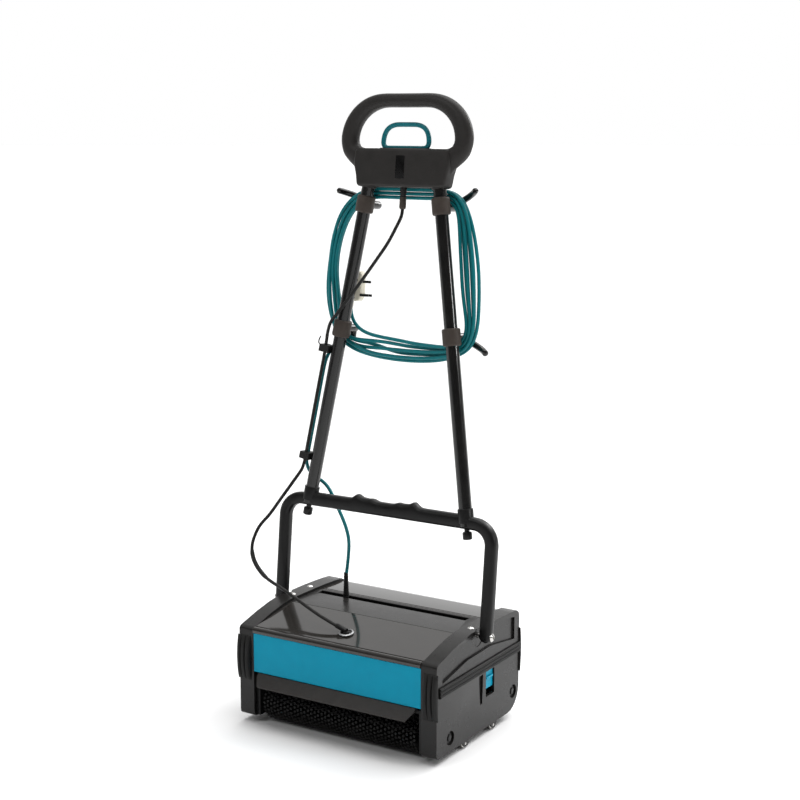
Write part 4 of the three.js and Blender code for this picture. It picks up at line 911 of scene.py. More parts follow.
    def coil_line(self) -> Array:
        """The wound cord's stations: the point between the coil's edges at its slot's distance.

        The cord travels left along the bottom and round. It takes the six slots in turn, and passes
        from each to the next in a gentle step along the bottom.
        """
        first, last = 5.0, self.stations * self.turns - 1.75
        at = np.arange(first, last, 0.5)
        inner, outer = self._round(self.INNER, at) * MM, self._round(self.OUTER, at) * MM
        band = np.linalg.norm(outer - inner, axis=1)
        offsets = self._slot_offsets(at, band)
        step = np.arange(1, self.turns)
        starts = self.stations * step + 2.25 - self.lag * (step - 1)
        slot = eased((at[:, None] - starts) / self.shift).sum(1)
        low = np.clip(np.floor(slot).astype(int), 0, self.turns - 2)
        share = slot - low
        k = np.arange(len(at))
        offset = offsets[k, low] * (1 - share) + offsets[k, low + 1] * share
        layers = np.array([self.back_layer, self.front_layer, self.front_layer, self.back_layer,
                           self.back_layer, self.front_layer])
        behind = layers[low] * (1 - share) + layers[low + 1] * share
        flat = inner + (outer - inner) * (offset / band)[:, None]
        return np.column_stack([flat[:, 0], flat[:, 1], behind])

    @staticmethod
    def _handle_points(table: tuple) -> Array:
        """A table of across, behind and along in millimetres, as the handle frame's numbers."""
        return np.array(table, float)[:, [0, 2, 1]] * MM

    def _free(self, table: tuple) -> Array:
        """A table of x, y and z in millimetres as an even line in metres."""
        return evenly(through(np.array(table) * MM, steps=8), self.free_step)

    @staticmethod
    def _cord(line: Array, radius: float, side: Array) -> Surface:
        """A cord of one radius along a line: a circle carried along it."""
        return carried(squircle(radius, radius, 12), line, side)

    def build(self) -> None:
        """Makes the four stretches of cord and what is fixed to them."""
        behind = np.array(HANDLE.third)
        wound = np.vstack([self._handle_points(self.MAINS_ON_HANDLE), self.coil_line(),
                           self._handle_points(self.COIL_TO_PLUG)])
        wound = self._relaxed(evenly(through(wound, steps=8), self.mains_step), self.relaxing)
        wound = HANDLE.at(evenly(wound, self.mains_step))
        cord = put(self._cord(wound, self.mains_radius, behind), "mains_cord_wound", TEAL_CORD, "handle",
                   ("mains_on_handle", "mains_coil"))
        plug = self.plug()
        LOG.info("wound cord %.4f m", length_of(wound))

        drop = evenly(self._relaxed(self._free(self.MAINS_TO_BASE), self.relaxing), self.free_step)[::-1]
        sideways = np.array([0.0, 1.0, 0.15])
        cord = put(self._cord(drop, self.mains_radius, sideways), "mains_cord_drop", TEAL_CORD, "",
                   ("mains_to_base",))
        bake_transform(cord)
        LOG.info("mains drop %.4f m", length_of(drop))

        lead = through(self._handle_points(self.LEAD_ON_HANDLE), steps=8)
        lead = HANDLE.at(evenly(lead, self.free_step))
        cord = put(self._cord(lead, self.lead_radius, behind), "lead_on_stand", LEAD_SHEATH, "handle",
                   ("lead_on_handle",))
        LOG.info("lead on the handle %.4f m", length_of(lead))

        reach = self._free(self.LEAD_TO_BASE)[::-1]
        cord = put(self._cord(reach, self.lead_radius, sideways), "lead_reach", LEAD_SHEATH, "",
                   ("lead_to_base",))
        sleeve = self.sleeve(reach, sideways)
        for piece in (cord, sleeve):
            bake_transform(piece)
        LOG.info("lead reach %.4f m", length_of(reach))
        self.glands()

    def sleeve(self, line: Array, side: Array) -> Piece:
        """The thicker sleeve where the lead turns in over the base, tapered at both of its ends."""
        x, z = line[:, 0], line[:, 2]
        low, high = self.sleeve_heights
        part = line[(z < high) & (z > low) & (x < self.sleeve_inner_x)]
        ends = np.minimum(np.arange(len(part)), np.arange(len(part))[::-1])
        radius = self.lead_radius + self.sleeve_wall * eased((ends + 0.6) / 3.0)
        section = squircle(1.0, 1.0, 12)[None] * radius[:, None, None]
        return put(carried(section, part, side), "lead_sleeve", RUBBER, "")

    def plug(self) -> Piece:
        """The mains plug: a rounded body with a tapered boot below it, and its three pins."""
        low, high = handle_box("mains_plug")
        left, right = low[0], high[0] - self.pin_room
        bottom, top = low[1], high[1]
        body = [
            (left, bottom), (right - 4 * MM, bottom + 3 * MM), (right, bottom + 12 * MM),
            (right, top - 8 * MM), (right - 4 * MM, top), (left, top),
        ]
        shell = slab(rounded(np.array(body), 2.8 * MM), low[2], high[2], self.plug_edge, HANDLE)
        boot = spun(np.array(self.PLUG_BOOT), HANDLE.at(self.plug_boot_foot), np.array(HANDLE.second), 16)
        piece = put(joined([shell, boot]), "mains_plug_body", IVORY, "handle", ("mains_plug",))
        pins, half = [], self.pin_half
        for along, across in self.PINS:
            root, tip, behind = right - self.pin_root, high[0], self.pin_behind + across
            blade = [(root, along - half), (tip, along - half), (tip, along + half), (root, along + half)]
            section = rounded(np.array(blade), 0.0007, 3)
            pins.append(slab(section, behind - half, behind + half, 0.0006, HANDLE, 2))
        put(joined(pins), "mains_plug_pins", SATIN_BLACK, "handle")
        return piece

    def glands(self) -> None:
        """The strain reliefs: tapered, ringed boots where each cord leaves its housing."""
        low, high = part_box("mains_gland")
        foot = np.array([(low[0] + high[0]) / 2, (low[1] + high[1]) / 2, low[2]])
        rise = high[2] - low[2]
        s = np.linspace(0.0, 1.0, 60)
        taper = 0.0056 - 0.0014 * eased(s * 1.1)
        rings = 0.0005 * (np.sin(2 * np.pi * s * 12) > 0.2) * (s > 0.16) * (s < 0.9)
        profile = np.column_stack([taper + rings, s * rise])
        boot = spun(np.vstack([[0.0, 0.0], profile, [0.0, rise]]), foot, (0, 0, 1), 20)
        collar = spun(np.array(self.RELIEF_COLLAR), foot, (0, 0, 1), 20)
        put(joined([boot, collar]), "mains_strain_relief", RUBBER, "machine_base", ("mains_gland",))
        low, high = handle_box("lead_gland")
        foot = HANDLE.at((0.0, low[1], 0.0))
        way = np.array(HANDLE.second)
        rise = high[1] - low[1]
        put(spun(np.array(self.GLAND_SLEEVE), foot, way, 20), "lead_gland_sleeve", CLAMP_BROWN, "handle",
            ("lead_gland",))
        s = np.linspace(0.0, 1.0, 40)
        neck = 0.0052 + 0.0012 * s + 0.0004 * (np.sin(2 * np.pi * s * 5) > 0)
        stem = np.column_stack([neck, 0.022 + s * (rise - 0.022 + 0.001)])
        closed = np.vstack([[0.0, stem[0, 1]], stem, [0.0, stem[-1, 1]]])
        put(spun(closed, foot, way, 20), "lead_gland_neck", SATIN_BLACK, "handle")


# ---------------------------------------------------------------- handle
@dataclass
class Stand:
    """The yoke, the two uprights, and the clamps with their cord hooks."""

    arm_x: float = 0.233
    arm_half: float = 0.012
    depth_half: float = 0.011
    corner: float = 0.038
    bar_top: float = 0.2185
    bar_bottom: float = 0.1915
    tube_radius: float = 0.0127
    tube_foot: tuple[float, float] = (0.1773, 0.205)
    tube_top: tuple[float, float] = (0.074074, 0.85)
    tube_base: float = 0.2
    hook_radius: float = 0.0065
    hook_behind: float = 0.042
    upper_hooks: float = 0.789
    lower_hooks: float = 0.548
    clamp_outer: float = 0.0175
    clamp_inner: float = 0.0129
    clamp_half: float = 0.0165
    clamp_edge: float = 0.0035
    hinge_stem: float = 0.0048
    hinge_head: float = 0.008

    # The finger bumps below the bar: distance from the middle, width and depth.
    BUMPS = ((0.064, 0.009, 0.009), (0.047, 0.010, 0.0035), (0.030, 0.009, 0.0040))
    # The tie's tail, in millimetres from the clip's corner.
    TAIL = ((6, -3, 1), (1, 2, -1), (0.5, 9, 1), (3, 15, 2))
    # The yoke's collar round each upright: radius and along.
    COLLAR = ((0.0, 0.0), (0.015, 0.0), (0.015, 0.0252), (0.0145, 0.0264), (0.0132, 0.027), (0.0, 0.027))
    # A hook's arm at its full length: outward and forward, in millimetres.
    ARM = ((4, 0), (14, 0), (24, 0), (38, -0.5), (50, -3), (60, -8), (67, -14))

    def tube_x(self, along: float | Array) -> float | Array:
        """The right-hand upright's axis across from the middle, at a height along the handle."""
        share = (along - self.tube_foot[1]) / (self.tube_top[1] - self.tube_foot[1])
        return self.tube_foot[0] + share * (self.tube_top[0] - self.tube_foot[0])

    def tube_way(self) -> Array:
        """The direction of the right-hand upright's axis in the machine's frame."""
        a, b = (HANDLE.at((self.tube_x(h), h, 0.0)) for h in (0.2, 0.8))
        return (b - a) / np.linalg.norm(b - a)

    def _yoke_line(self) -> Array:
        """The yoke's middle line: up the left arm, round a quarter circle, across, and down the right arm.

        The stations close up towards the feet so that the ends can be drawn round.
        """
        turn = np.linspace(0.0, np.pi / 2, 12)
        foot = -self.arm_half * np.cos(turn)
        rise = self.bar_top - self.arm_half - self.corner
        up = np.concatenate([foot, np.linspace(0.0, rise, 9)[1:]])
        left = np.column_stack([np.full(len(up), -self.arm_x), up])
        bend = np.linspace(np.pi, np.pi / 2, 13)[1:]
        middle = np.array([-self.arm_x + self.corner, rise])
        corner = middle + self.corner * np.column_stack([np.cos(bend), np.sin(bend)])
        half = np.vstack([left, corner])
        across = np.linspace(-self.arm_x + self.corner, self.arm_x - self.corner, 97)[1:-1]
        bar = np.column_stack([across, np.full(len(across), rise + self.corner)])
        return np.vstack([half, bar, half[::-1] * np.array([-1.0, 1.0])])

    def yoke(self) -> None:
        """The yoke: a rounded section carried along its line, deeper below the bar at the finger bumps."""
        line = self._yoke_line()
        from_middle = np.abs(line[:, 0])
        low = np.clip(-line[:, 1] / self.arm_half, 0.0, 1.0)
        tip = np.sqrt(np.maximum(1 - low**2, 0.0004))
        on_bar = eased((self.arm_x - self.corner - from_middle) / 0.02)
        bumps = sum(h * np.exp(-(((from_middle - centre) / width) ** 2)) for centre, width, h in self.BUMPS)
        extra = on_bar * (self.bar_top - self.bar_bottom - 2 * self.arm_half + bumps)
        section = squircle(1.0, 1.0, 28, 3.2)
        rows = np.repeat(section[None], len(line), axis=0)
        outward = rows[:, :, 0]
        inner = self.arm_half * tip + extra
        a = np.where(outward > 0, outward * (self.arm_half * tip)[:, None], outward * inner[:, None])
        b = rows[:, :, 1] * self.depth_half * np.maximum(tip, 0.35)[:, None]
        path = HANDLE.at(np.column_stack([line, np.zeros(len(line))]))
        parts = [carried(np.stack([-a, b], -1), path, np.array(HANDLE.third))]
        for side in Side:
            foot = HANDLE.at((self.tube_x(0.206), 0.206, 0.0))
            parts.append(spun(np.array(self.COLLAR), foot, self.tube_way()).on(side))
        put(joined(parts), "yoke_frame", SATIN_BLACK, "handle", ("yoke",))

    def uprights(self, side: Side) -> None:
        """An upright tube and the knob below the cross bar that holds it."""
        way = self.tube_way()
        foot = HANDLE.at((self.tube_x(self.tube_base), self.tube_base, 0.0))
        length = (self.tube_top[1] - self.tube_base) / float(way @ np.array(HANDLE.second))
        r = self.tube_radius
        profile = [(0.0, 0.0), (r, 0.0), (r, length * 0.33), (r, length * 0.66), (r, length), (0.0, length)]
        put(spun(np.array(profile), foot, way, 40).on(side), f"upright_{side.word}", TUBE_BLACK, "handle",
            (f"handle_tube_{side.word}",))
        seat = HANDLE.at((self.tube_x(self.bar_bottom), self.bar_bottom, 0.0))
        knob = [
            (0.0, -0.0167), (0.0068, -0.0167), (0.0082, -0.0160), (0.0090, -0.0145), (0.0090, -0.0040),
            (0.0084, -0.0022), (0.0070, -0.0017), (0.0050, -0.0017), (0.0050, 0.004), (0.0, 0.004),
        ]
        turned = spun(np.array(knob), seat, way, 24).on(side)
        put(turned, f"upright_knob_{side.word}", SATIN_BLACK, "handle", (f"tube_bolt_{side.word}",))

    def hook(
        self, node: str, side: Side, along: float, way: tuple[float, float], curl: float, reach: float
    ) -> None:
        """A clamp round an upright, the boss behind it, and the arm that carries the coil.

        Args:
            node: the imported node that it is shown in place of.
            side: the upright that it is on.
            along: its height along the handle.
            way: the arm's direction, outward and up.
            curl: how far the arm's tip comes forward, as a share of the full hook.
            reach: how long the arm is, as a share of the full one.
        """
        x = float(self.tube_x(along))
        inner, half = self.clamp_inner, self.clamp_half
        soft = np.linspace(0.0, np.pi / 2, 6)
        edge = self.clamp_edge * np.column_stack([np.sin(soft) - 1, 1 - np.cos(soft)])
        edge = edge + np.array([self.clamp_outer, -half])
        profile = np.vstack([[(inner, -half)], edge, edge[::-1] * [1.0, -1.0], [(inner, half)]])
        ring = spun(profile, HANDLE.at((x, along, 0.0)), self.tube_way(), 36)
        put(ring.on(side), f"{node}_clamp", CLAMP_BROWN, "handle", (node,))
        end = min(handle_box(node)[1][2], self.hook_behind + 0.0075)
        dome = np.linspace(0.0, np.pi / 2, 7)
        cap = np.column_stack([0.008 * np.cos(dome), end - 0.004 + 0.004 * np.sin(dome)])
        stem = np.vstack([[(0.0, 0.012), (0.0062, 0.012), (0.0068, 0.02), (0.0080, 0.034)], cap])
        boss = spun(stem, HANDLE.at((x, along, 0.0)), np.array(HANDLE.third), 24)
        out, forward = np.array(self.ARM).T * MM
        out, behind = out * reach, self.hook_behind + forward * curl
        points = np.column_stack([x + out * way[0], along + out * way[1], behind])
        line = evenly(through(points, steps=8), 0.003)
        run = np.linspace(1.0, 0.0, len(line))
        tip = np.sqrt(np.clip(1 - (1 - np.clip(run / 0.07, 0, 1)) ** 2, 0.02, 1))
        radius = (self.hook_radius - 0.0005 * (1 - run)) * tip
        section = squircle(1.0, 1.0, 16)[None] * radius[:, None, None]
        arm = carried(section, HANDLE.at(line), np.array(HANDLE.second) + 0.3 * np.array(HANDLE.third))
        put(joined([boss, arm]).on(side), f"{node}_arm", TUBE_BLACK, "handle")

    def clips(self) -> None:
        """The two moulded cord clips, and the tail of the tie that closes the upper one."""
        for node in ("cord_clip_upper", "cord_clip_lower"):
            dressed(node, RUBBER, 0.0012)
        low, high = handle_box("cord_clip_upper")
        tail = np.array(self.TAIL) * MM + np.array([low[0], high[1], low[2]])
        line = HANDLE.at(evenly(through(tail, steps=6), 0.0012))
        tie = carried(squircle(0.0012, 0.0008, 8, 3.0), line, np.array(HANDLE.third))
        put(tie, "cord_clip_tail", RUBBER, "handle")

    def build(self) -> None:
        """Makes the whole stand."""
        self.yoke()
        for side in Side:
            self.uprights(side)
            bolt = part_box(f"yoke_pivot_bolt_{side.word}")
            seat = (max(abs(bolt[0][0]), abs(bolt[1][0])) - 0.004, HINGE[1], HINGE[2])
            head = screw(seat, (1.0, 0.0, 0.0), self.hinge_head)
            shank = [(0.0, -0.031), (self.hinge_stem, -0.031), (self.hinge_stem, 0.0), (0.0, 0.0)]
            stem = spun(np.array(shank), np.array(seat), np.array([1.0, 0.0, 0.0]), 16)
            put(joined([head, stem]).on(side), f"hinge_screw_{side.word}", STEEL, "machine_base",
                (f"yoke_pivot_bolt_{side.word}",))
        upper, lower = self.upper_hooks, self.lower_hooks
        self.hook("hook_upper_left", Side.LEFT, upper, (1.0, 0.34), 2.2, 1.12)
        self.hook("hook_upper_right", Side.RIGHT, upper, (1.0, 0.60), 1.0, 0.84)
        self.hook("hook_lower_left", Side.LEFT, lower, (0.06, -0.85), 0.0, 0.42)
        self.hook("hook_lower_right", Side.RIGHT, lower, (1.0, -0.46), 1.0, 0.88)
        self.clips()


@dataclass
class Grip:
    """The ring grip with its control pod, and the switch loop in it."""

    thickness_half: float = 0.0135
    pod_half: float = 0.018
    pod_height: float = 0.0723
    shoulder: float = 0.087
    label_rise: float = 0.0375
    label_long: float = 0.0215
    pod_edge: float = 0.006
    label_half: float = 0.0095
    switch_half: float = 0.050
    switch_low: float = 0.8955
    switch_high: float = 0.9395
    switch_bar: float = 0.0045

    def ring(self) -> Surface:
        """The ring: at each station a rounded section spans from the inner edge to the outer one."""
        low, high = handle_box("grip")
        w, foot, top = high[0], low[1], high[1]
        pod = foot + self.pod_height
        quarter = np.linspace(np.pi / 2, 0.0, 9)
        round_corner = np.column_stack([np.cos(quarter), np.sin(quarter)])
        drop = top - self.shoulder
        outer_corner = np.array([0.050, drop]) + np.array([0.093, self.shoulder]) * round_corner
        half_out = np.vstack([
            [(0, foot + 0.008), (0.5 * w, foot + 0.009), (0.66 * w, foot + 0.018),
             (0.745 * w, foot + 0.034), (0.87 * w, foot + 0.049), (0.955 * w, foot + 0.064)],
            outer_corner[::-1], [(0.025, top), (0.0, top)],
        ])
        inner_corner = np.array([0.042, drop]) + np.array([0.0655, 0.061]) * round_corner
        half_in = np.vstack([
            [(0, pod + 0.0005), (0.55 * w, pod + 0.0005), (w - 0.050, pod + 0.0012),
             (w - 0.0395, pod + 0.0062)],
            inner_corner[::-1], [(0.021, top - 0.026), (0.0, top - 0.026)],
        ])
        edges = []
        for half in (half_out, half_in):
            whole = np.vstack([half, half[-2:0:-1] * np.array([-1.0, 1.0])])
            line = evenly(through(whole, True, 24), 0.0004, True)
            centre = np.array([0.0, (pod + top) / 2])
            angle = np.unwrap(np.arctan2(line[:, 1] - centre[1], line[:, 0] - centre[0]))
            wanted = np.linspace(angle[0], angle[0] + 2 * np.pi, 121)[:-1]
            lined = np.vstack([line, line[:1]])
            turns = np.append(angle, angle[0] + 2 * np.pi)
            edges.append(np.stack([np.interp(wanted, turns, lined[:, k]) for k in range(2)], axis=1))
        outer, inner = edges
        middle, reach = (outer + inner) / 2, (outer - inner) / 2
        section = squircle(1.0, 1.0, 24, 2.5)
        flat = middle[:, None] + reach[:, None] * section[None, :, 0:1]
        deep = np.broadcast_to(section[None, :, 1:2] * self.thickness_half, (*flat.shape[:2], 1))
        return lattice(HANDLE.at(np.concatenate([flat, deep], -1)), True)

    def build(self) -> None:
        """Makes the grip, the pod, its blank label, the dark slot and the switch loop."""
        low, high = handle_box("grip")
        foot, w = low[1], 0.675 * high[0]
        pod_top = foot + self.pod_height
        right = [(w, foot), (1.04 * w, foot + 0.025), (1.1 * w, foot + 0.044), (1.06 * w, pod_top)]
        corners = np.array(right + [(-a, b) for a, b in right[::-1]])
        outline = evenly(rounded(corners, 0.0075, 6), 0.0035, True)
        pod = slab(outline, -self.pod_half, self.pod_half, self.pod_edge, HANDLE, 5)
        collars = []
        stand = Stand()
        for side in Side:
            seat = HANDLE.at((stand.tube_x(foot - 0.001), foot - 0.001, 0.0))
            lip = [(0.0, 0.0), (0.0150, 0.0), (0.0158, 0.001), (0.0158, 0.006), (0.0, 0.006)]
            collars.append(spun(np.array(lip), seat, stand.tube_way(), 28).on(side))
        put(joined([self.ring(), pod, *collars]), "grip_and_pod", CHARCOAL, "handle", ("grip",))
        middle, half, face = foot + self.label_rise, self.label_half, -self.pod_half
        bottom, top = middle - self.label_long, middle + self.label_long
        label = rounded(np.array([(-half, bottom), (half, bottom), (half, top), (-half, top)]), 0.0015)
        plate = slab(label, face - 0.0005, face + 0.0005, 0.0003, HANDLE, 2)
        put(plate, "pod_label_blank", LABEL_BLACK, "handle")
        slot = np.array([(-1, -1), (1, -1), (1, 1), (-1, 1)]) * np.array([0.056, 0.0075])
        centre = tuple(HANDLE.at((0.0, pod_top, 0.0)))
        top_view = Place(centre, HANDLE.first, tuple(-np.array(HANDLE.third)), HANDLE.second)
        frame_of_slot = slab(rounded(slot, 0.0065, 6), -0.002, 0.0014, 0.0006, top_view, 2)
        put(frame_of_slot, "switch_slot", RUBBER, "handle")
        self.switch()

    def switch(self) -> None:
        """The switch loop: a rounded bar carried round a box with wide upper corners, and its web."""
        h, low, high = self.switch_half, self.switch_low, self.switch_high
        box = np.array([(-h, low), (h, low), (h, high), (-h, high)])
        line = evenly(rounded(box, np.array([0.012, 0.012, 0.034, 0.034]), 12), 0.003, True)
        path = HANDLE.at(np.column_stack([line, np.zeros(len(line))]))
        loop = carried(squircle(self.switch_bar, 0.0039, 16, 2.8), path, np.array(HANDLE.third), True)
        web = np.array([(-0.030, 0.880), (0.030, 0.880), (0.030, 0.895), (-0.030, 0.895)])
        put(joined([loop, slab(rounded(web, 0.003), -0.0025, 0.0025, 0.001, HANDLE, 2)]), "switch_loop_bar",
            TEAL_SWITCH, "switch", ("switch_loop",))


# ---------------------------------------------------------------- base
@dataclass
class BaseShell:
    """The outside of the base: casings, lids, tanks, lips, pads, bumpers, catches and screws."""

    casing_edge: float = 0.0016
    pad_ribs: tuple[float, float] = (0.2030, 0.2130)
    port_bolt: float = 0.0068
    screw_x: float = 0.203
    screw_head: float = 0.0062
    lid_slope: float = 0.1598
    connector_seat: Triple = (-0.0035, -0.112, 0.19945)

    # Where the casing's top screws stand along y, and its side ports in y and z.
    SCREWS = (-0.005, 0.055)
    PORTS = ((-0.108, 0.040), (0.135, 0.052))
    WASHER = ((0.0, 0.0), (0.0108, 0.0), (0.0108, 0.0008), (0.0100, 0.0016), (0.0, 0.0016))
    # The connector's ring: radius and height, round its section.
    RING = (
        (0.0112, 0.0028), (0.0138, 0.0020), (0.0144, 0.0026), (0.0142, 0.0034), (0.0128, 0.0042),
        (0.0114, 0.0044), (0.0108, 0.0036),
    )

    # The front lid's section, y and z in millimetres: the lip bar, its groove and the sloping top.
    LID_SECTION = (
        (-154.7, 182.6), (-154.7, 186.8), (-34.3, 207.7), (-34.3, 212.0), (-148.6, 193.5), (-149.4, 192.0),
        (-151.4, 191.7), (-152.0, 193.0), (-154.0, 193.6), (-156.8, 193.2), (-159.2, 191.6), (-160.6, 189.4),
        (-161.0, 186.8), (-160.6, 184.2), (-159.5, 182.2),
    )

    def lid(self) -> None:
        """The front lid: its section carried straight across between the casings."""
        low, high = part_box("front_lid")
        section = np.array(self.LID_SECTION) * MM
        places = np.linspace(low[0], high[0], 5)
        rows = [np.column_stack([np.full(len(section), x), section]) for x in places]
        piece = put(lattice(np.array(rows)), "front_lid_cover", SMOKE, "machine_base", ("front_lid",))
        softened(piece, 0.0006, 2)

    def pad(self, end: End, side: Side) -> None:
        """A corner pad: its bulge is a round arch along z, flattened ends along x, and two grooves."""
        node = f"corner_pad_{end.word}_{side.word}"
        low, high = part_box(node)
        x0, x1 = sorted((abs(low[0]), abs(high[0])))
        depth0, depth1 = sorted((abs(low[1]), abs(high[1])))
        z = low[2] + (high[2] - low[2]) * (1 - np.cos(np.linspace(0, np.pi, 33))) / 2
        x = x0 + (x1 - x0) * (1 - np.cos(np.linspace(0, np.pi, 49))) / 2
        across = 2 * (x - x0) / (x1 - x0) - 1
        climb = (z - low[2]) / (high[2] - low[2])
        arch = (1 - (2 * climb - 1) ** 4) ** 0.5 * (0.62 + 0.38 * np.sin(np.pi * climb))
        sides = np.sqrt(np.clip(1 - np.abs(across) ** 7, 0, 1))
        grooves = sum(np.exp(-(((x - c) / 0.0011) ** 2)) for c in self.pad_ribs)
        crowns = 1 - 0.05 * np.cos(3 * np.pi * (across + 1)) - 0.42 * grooves
        bulge = (depth1 - depth0) * arch[:, None] * (sides * np.clip(crowns, 0, 1))[None]
        front = np.stack(np.broadcast_arrays(x[None], -depth0 - bulge, z[:, None]), -1)
        back = front[:, ::-1][:, [0, -1]].copy()
        back[..., 1] = -depth0
        rows = np.concatenate([front, back], axis=1)
        put(lattice(rows).on(side).at_end(end), f"{node}_ribbed", RUBBER, "machine_base", (node,))

    def screws(self) -> None:
        """The four bright screws on the casings' tops, and the fasteners down in the side ports."""
        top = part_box("side_casing_right")[1][2]
        seats = [(self.screw_x * side.value, y, top - 0.0005) for side in Side for y in self.SCREWS]
        parts = [screw(seat, (0.0, 0.0, 1.0), self.screw_head) for seat in seats]
        put(joined(parts), "casing_screws", STEEL, "machine_base")
        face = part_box("side_casing_right")[1][0]
        turn = 2 * np.pi * np.arange(6) / 6
        for side in Side:
            ports = []
            for y, z in self.PORTS:
                hexagon = np.array([y, z]) + self.port_bolt * np.column_stack([np.cos(turn), np.sin(turn)])
                outline = rounded(hexagon, 0.0012, 3)
                ports.append(slab(outline, face - 0.006, face - 0.0012, 0.0008, SIDE_VIEW, 2))
                seat = np.array([face - 0.0052, y, z])
                ports.append(spun(np.array(self.WASHER), seat, np.array([1.0, 0.0, 0.0])))
            put(joined(ports).on(side), f"port_fasteners_{side.word}", SATIN_BLACK, "machine_base")

    def ridges(self) -> None:
        """Two thin ridges along the rear lid's front edge."""
        low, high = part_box("rear_lid")
        parts = []
        for y in (0.0665, 0.0725):
            left, right, behind = low[0] + 0.004, high[0] - 0.004, y + 0.0018
            strip = [(left, y), (right, y), (right, behind), (left, behind)]
            outline = rounded(np.array(strip), 0.0006, 3)
            drop = 0.030 * (y - low[1])
            level = (0.0, 0.0, float(high[2]) - drop)
            top_view = Place(level, (1.0, 0.0, 0.0), (0.0, 1.0, 0.0), (0.0, 0.0, 1.0))
            parts.append(slab(outline, -0.001, 0.0006, 0.0004, top_view, 2))
        put(joined(parts), "rear_lid_ridges", SMOKE, "rear_tank_unit")

    def connector(self) -> None:
        """The lead's round connector on the front lid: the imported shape, softened, with a bright ring."""
        dressed("lead_connector", SATIN_BLACK, 0.0006)
        slope = np.array([0.0, -math.sin(self.lid_slope), math.cos(self.lid_slope)])
        stations = np.array(self.RING)
        turn = 2 * np.pi * np.arange(48) / 48
        u = np.array([1.0, 0.0, 0.0])
        v = np.cross(slope, u)
        knurl = 1 + 0.02 * np.cos(12 * turn)
        circle = (np.cos(turn)[:, None] * u + np.sin(turn)[:, None] * v) * knurl[:, None]
        seat = np.array(self.connector_seat)
        rows = seat + circle[:, None] * stations[None, :, 0:1] + slope * stations[None, :, 1:2]
        put(lattice(rows, True), "lead_connector_ring", ALUMINIUM, "machine_base")

    def build(self) -> None:
        """Makes the whole outside of the base."""
        for side in Side:
            dressed(f"side_casing_{side.word}", CASING, self.casing_edge, 3)
            dressed(f"side_bumper_{side.word}", RUBBER, 0.0005)
            dressed(f"side_latch_{side.word}", TEAL_PANEL, 0.0007)
            for end in End:
                self.pad(end, side)
        dressed("centre_cover", CASING, 0.0010)
        self.lid()
        dressed("rear_lid", SMOKE, 0.0016, 3)
        dressed("front_tank", TEAL_PANEL, 0.0010)
        dressed("rear_tank", TEAL_PANEL, 0.0010)
        for end in End:
            dressed(f"{end.word}_spray_lip", LIP_GREY, 0.0009)
        self.screws()
        self.ridges()
        self.connector()


@dataclass
class Brushes:
    """The two tufted brushes, the pick-up drum between them, the rollers and the drive inside."""

    rows_round: int = 32
    pitch: float = 0.0078
    root: float = 0.0215
    filament: float = 0.00095
    splay: float = 0.0019

    def tufts(self, end: End) -> None:
        """A brush: each tuft is seven slim three-sided bristles that lean apart towards their tips.

        Tuft point = axis + radius·(cos t, sin t), with every second ring of tufts turned by half a step.
        """
        low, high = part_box(f"{end.word}_bristles")
        radius, y, z = (high[2] - low[2]) / 2, (low[1] + high[1]) / 2, (low[2] + high[2]) / 2
        rings = int((high[0] - low[0]) / self.pitch)
        xs = np.linspace(low[0] + 0.0035, high[0] - 0.0035, rings)
        half_steps = 0.5 * (np.arange(rings) % 2)[:, None]
        turn = 2 * np.pi * (np.arange(self.rows_round)[None] + half_steps) / self.rows_round
        x = np.broadcast_to(xs[:, None], turn.shape).ravel()
        t = turn.ravel()
        rng = np.random.default_rng(11 + end.value)
        lean = rng.normal(0.0, 0.0004, (len(t), 2))
        six = 2 * np.pi * np.arange(6) / 6
        spread = np.vstack([[0.0, 0.0], np.column_stack([np.cos(six), np.sin(six)])])
        three = 2 * np.pi * np.arange(3) / 3
        section = np.column_stack([np.cos(three), np.sin(three)]) * self.filament
        levels = [(self.root, 0.35), (radius - 0.0002, 1.0)]
        tips = rng.uniform(-0.0009, 0.0, (len(t), 7))
        points = []
        for level, share in levels:
            side = (spread[None, :, None] * self.splay * share + section[None, None]
                    + lean[:, None, None] * share)
            out = np.full((len(t), 7, 3), level) + (tips[..., None] if share == 1.0 else 0.0)
            across = side[..., 1]
            ty = y + out * np.cos(t)[:, None, None] - across * np.sin(t)[:, None, None]
            tz = z + out * np.sin(t)[:, None, None] + across * np.cos(t)[:, None, None]
            points.append(np.stack([x[:, None, None] + side[..., 0], ty, tz], -1))
        count = len(t) * 7
        verts = np.stack([p.reshape(count, 3, 3) for p in points], 1).reshape(-1, 3)
        base = np.arange(count)[:, None] * 6
        quads = np.vstack([base + np.array([k, (k + 1) % 3, 3 + (k + 1) % 3, 3 + k]) for k in range(3)])
        caps = np.vstack([base + np.array([3, 4, 5]), base + np.array([2, 1, 0])])
        put(Surface(verts, (quads, caps)), f"{end.word}_brush_tufts", BRISTLE, f"{end.word}_brush",
            (f"{end.word}_bristles",))

    def build(self) -> None:
        """Makes the brushes, and gives the drum, the rollers and the drive their finishes."""
        for end in End:
            self.tufts(end)
            coated(f"{end.word}_brush_core", SATIN_BLACK)
            coated(f"{end.word}_belt", RUBBER)
            for side in Side:
                coated(f"bearing_{end.word}_{side.word}", STEEL)
                dressed(f"roller_{end.word}_{side.word}", STEEL, 0.0006)
        coated("pickup_drum", DRUM_GREY)
        inside = {"motor": ALUMINIUM, "motor_shaft": STEEL, "reversing_gear": STEEL, "chassis": SATIN_BLACK}
        for node, finish in inside.items():
            coated(node, finish)


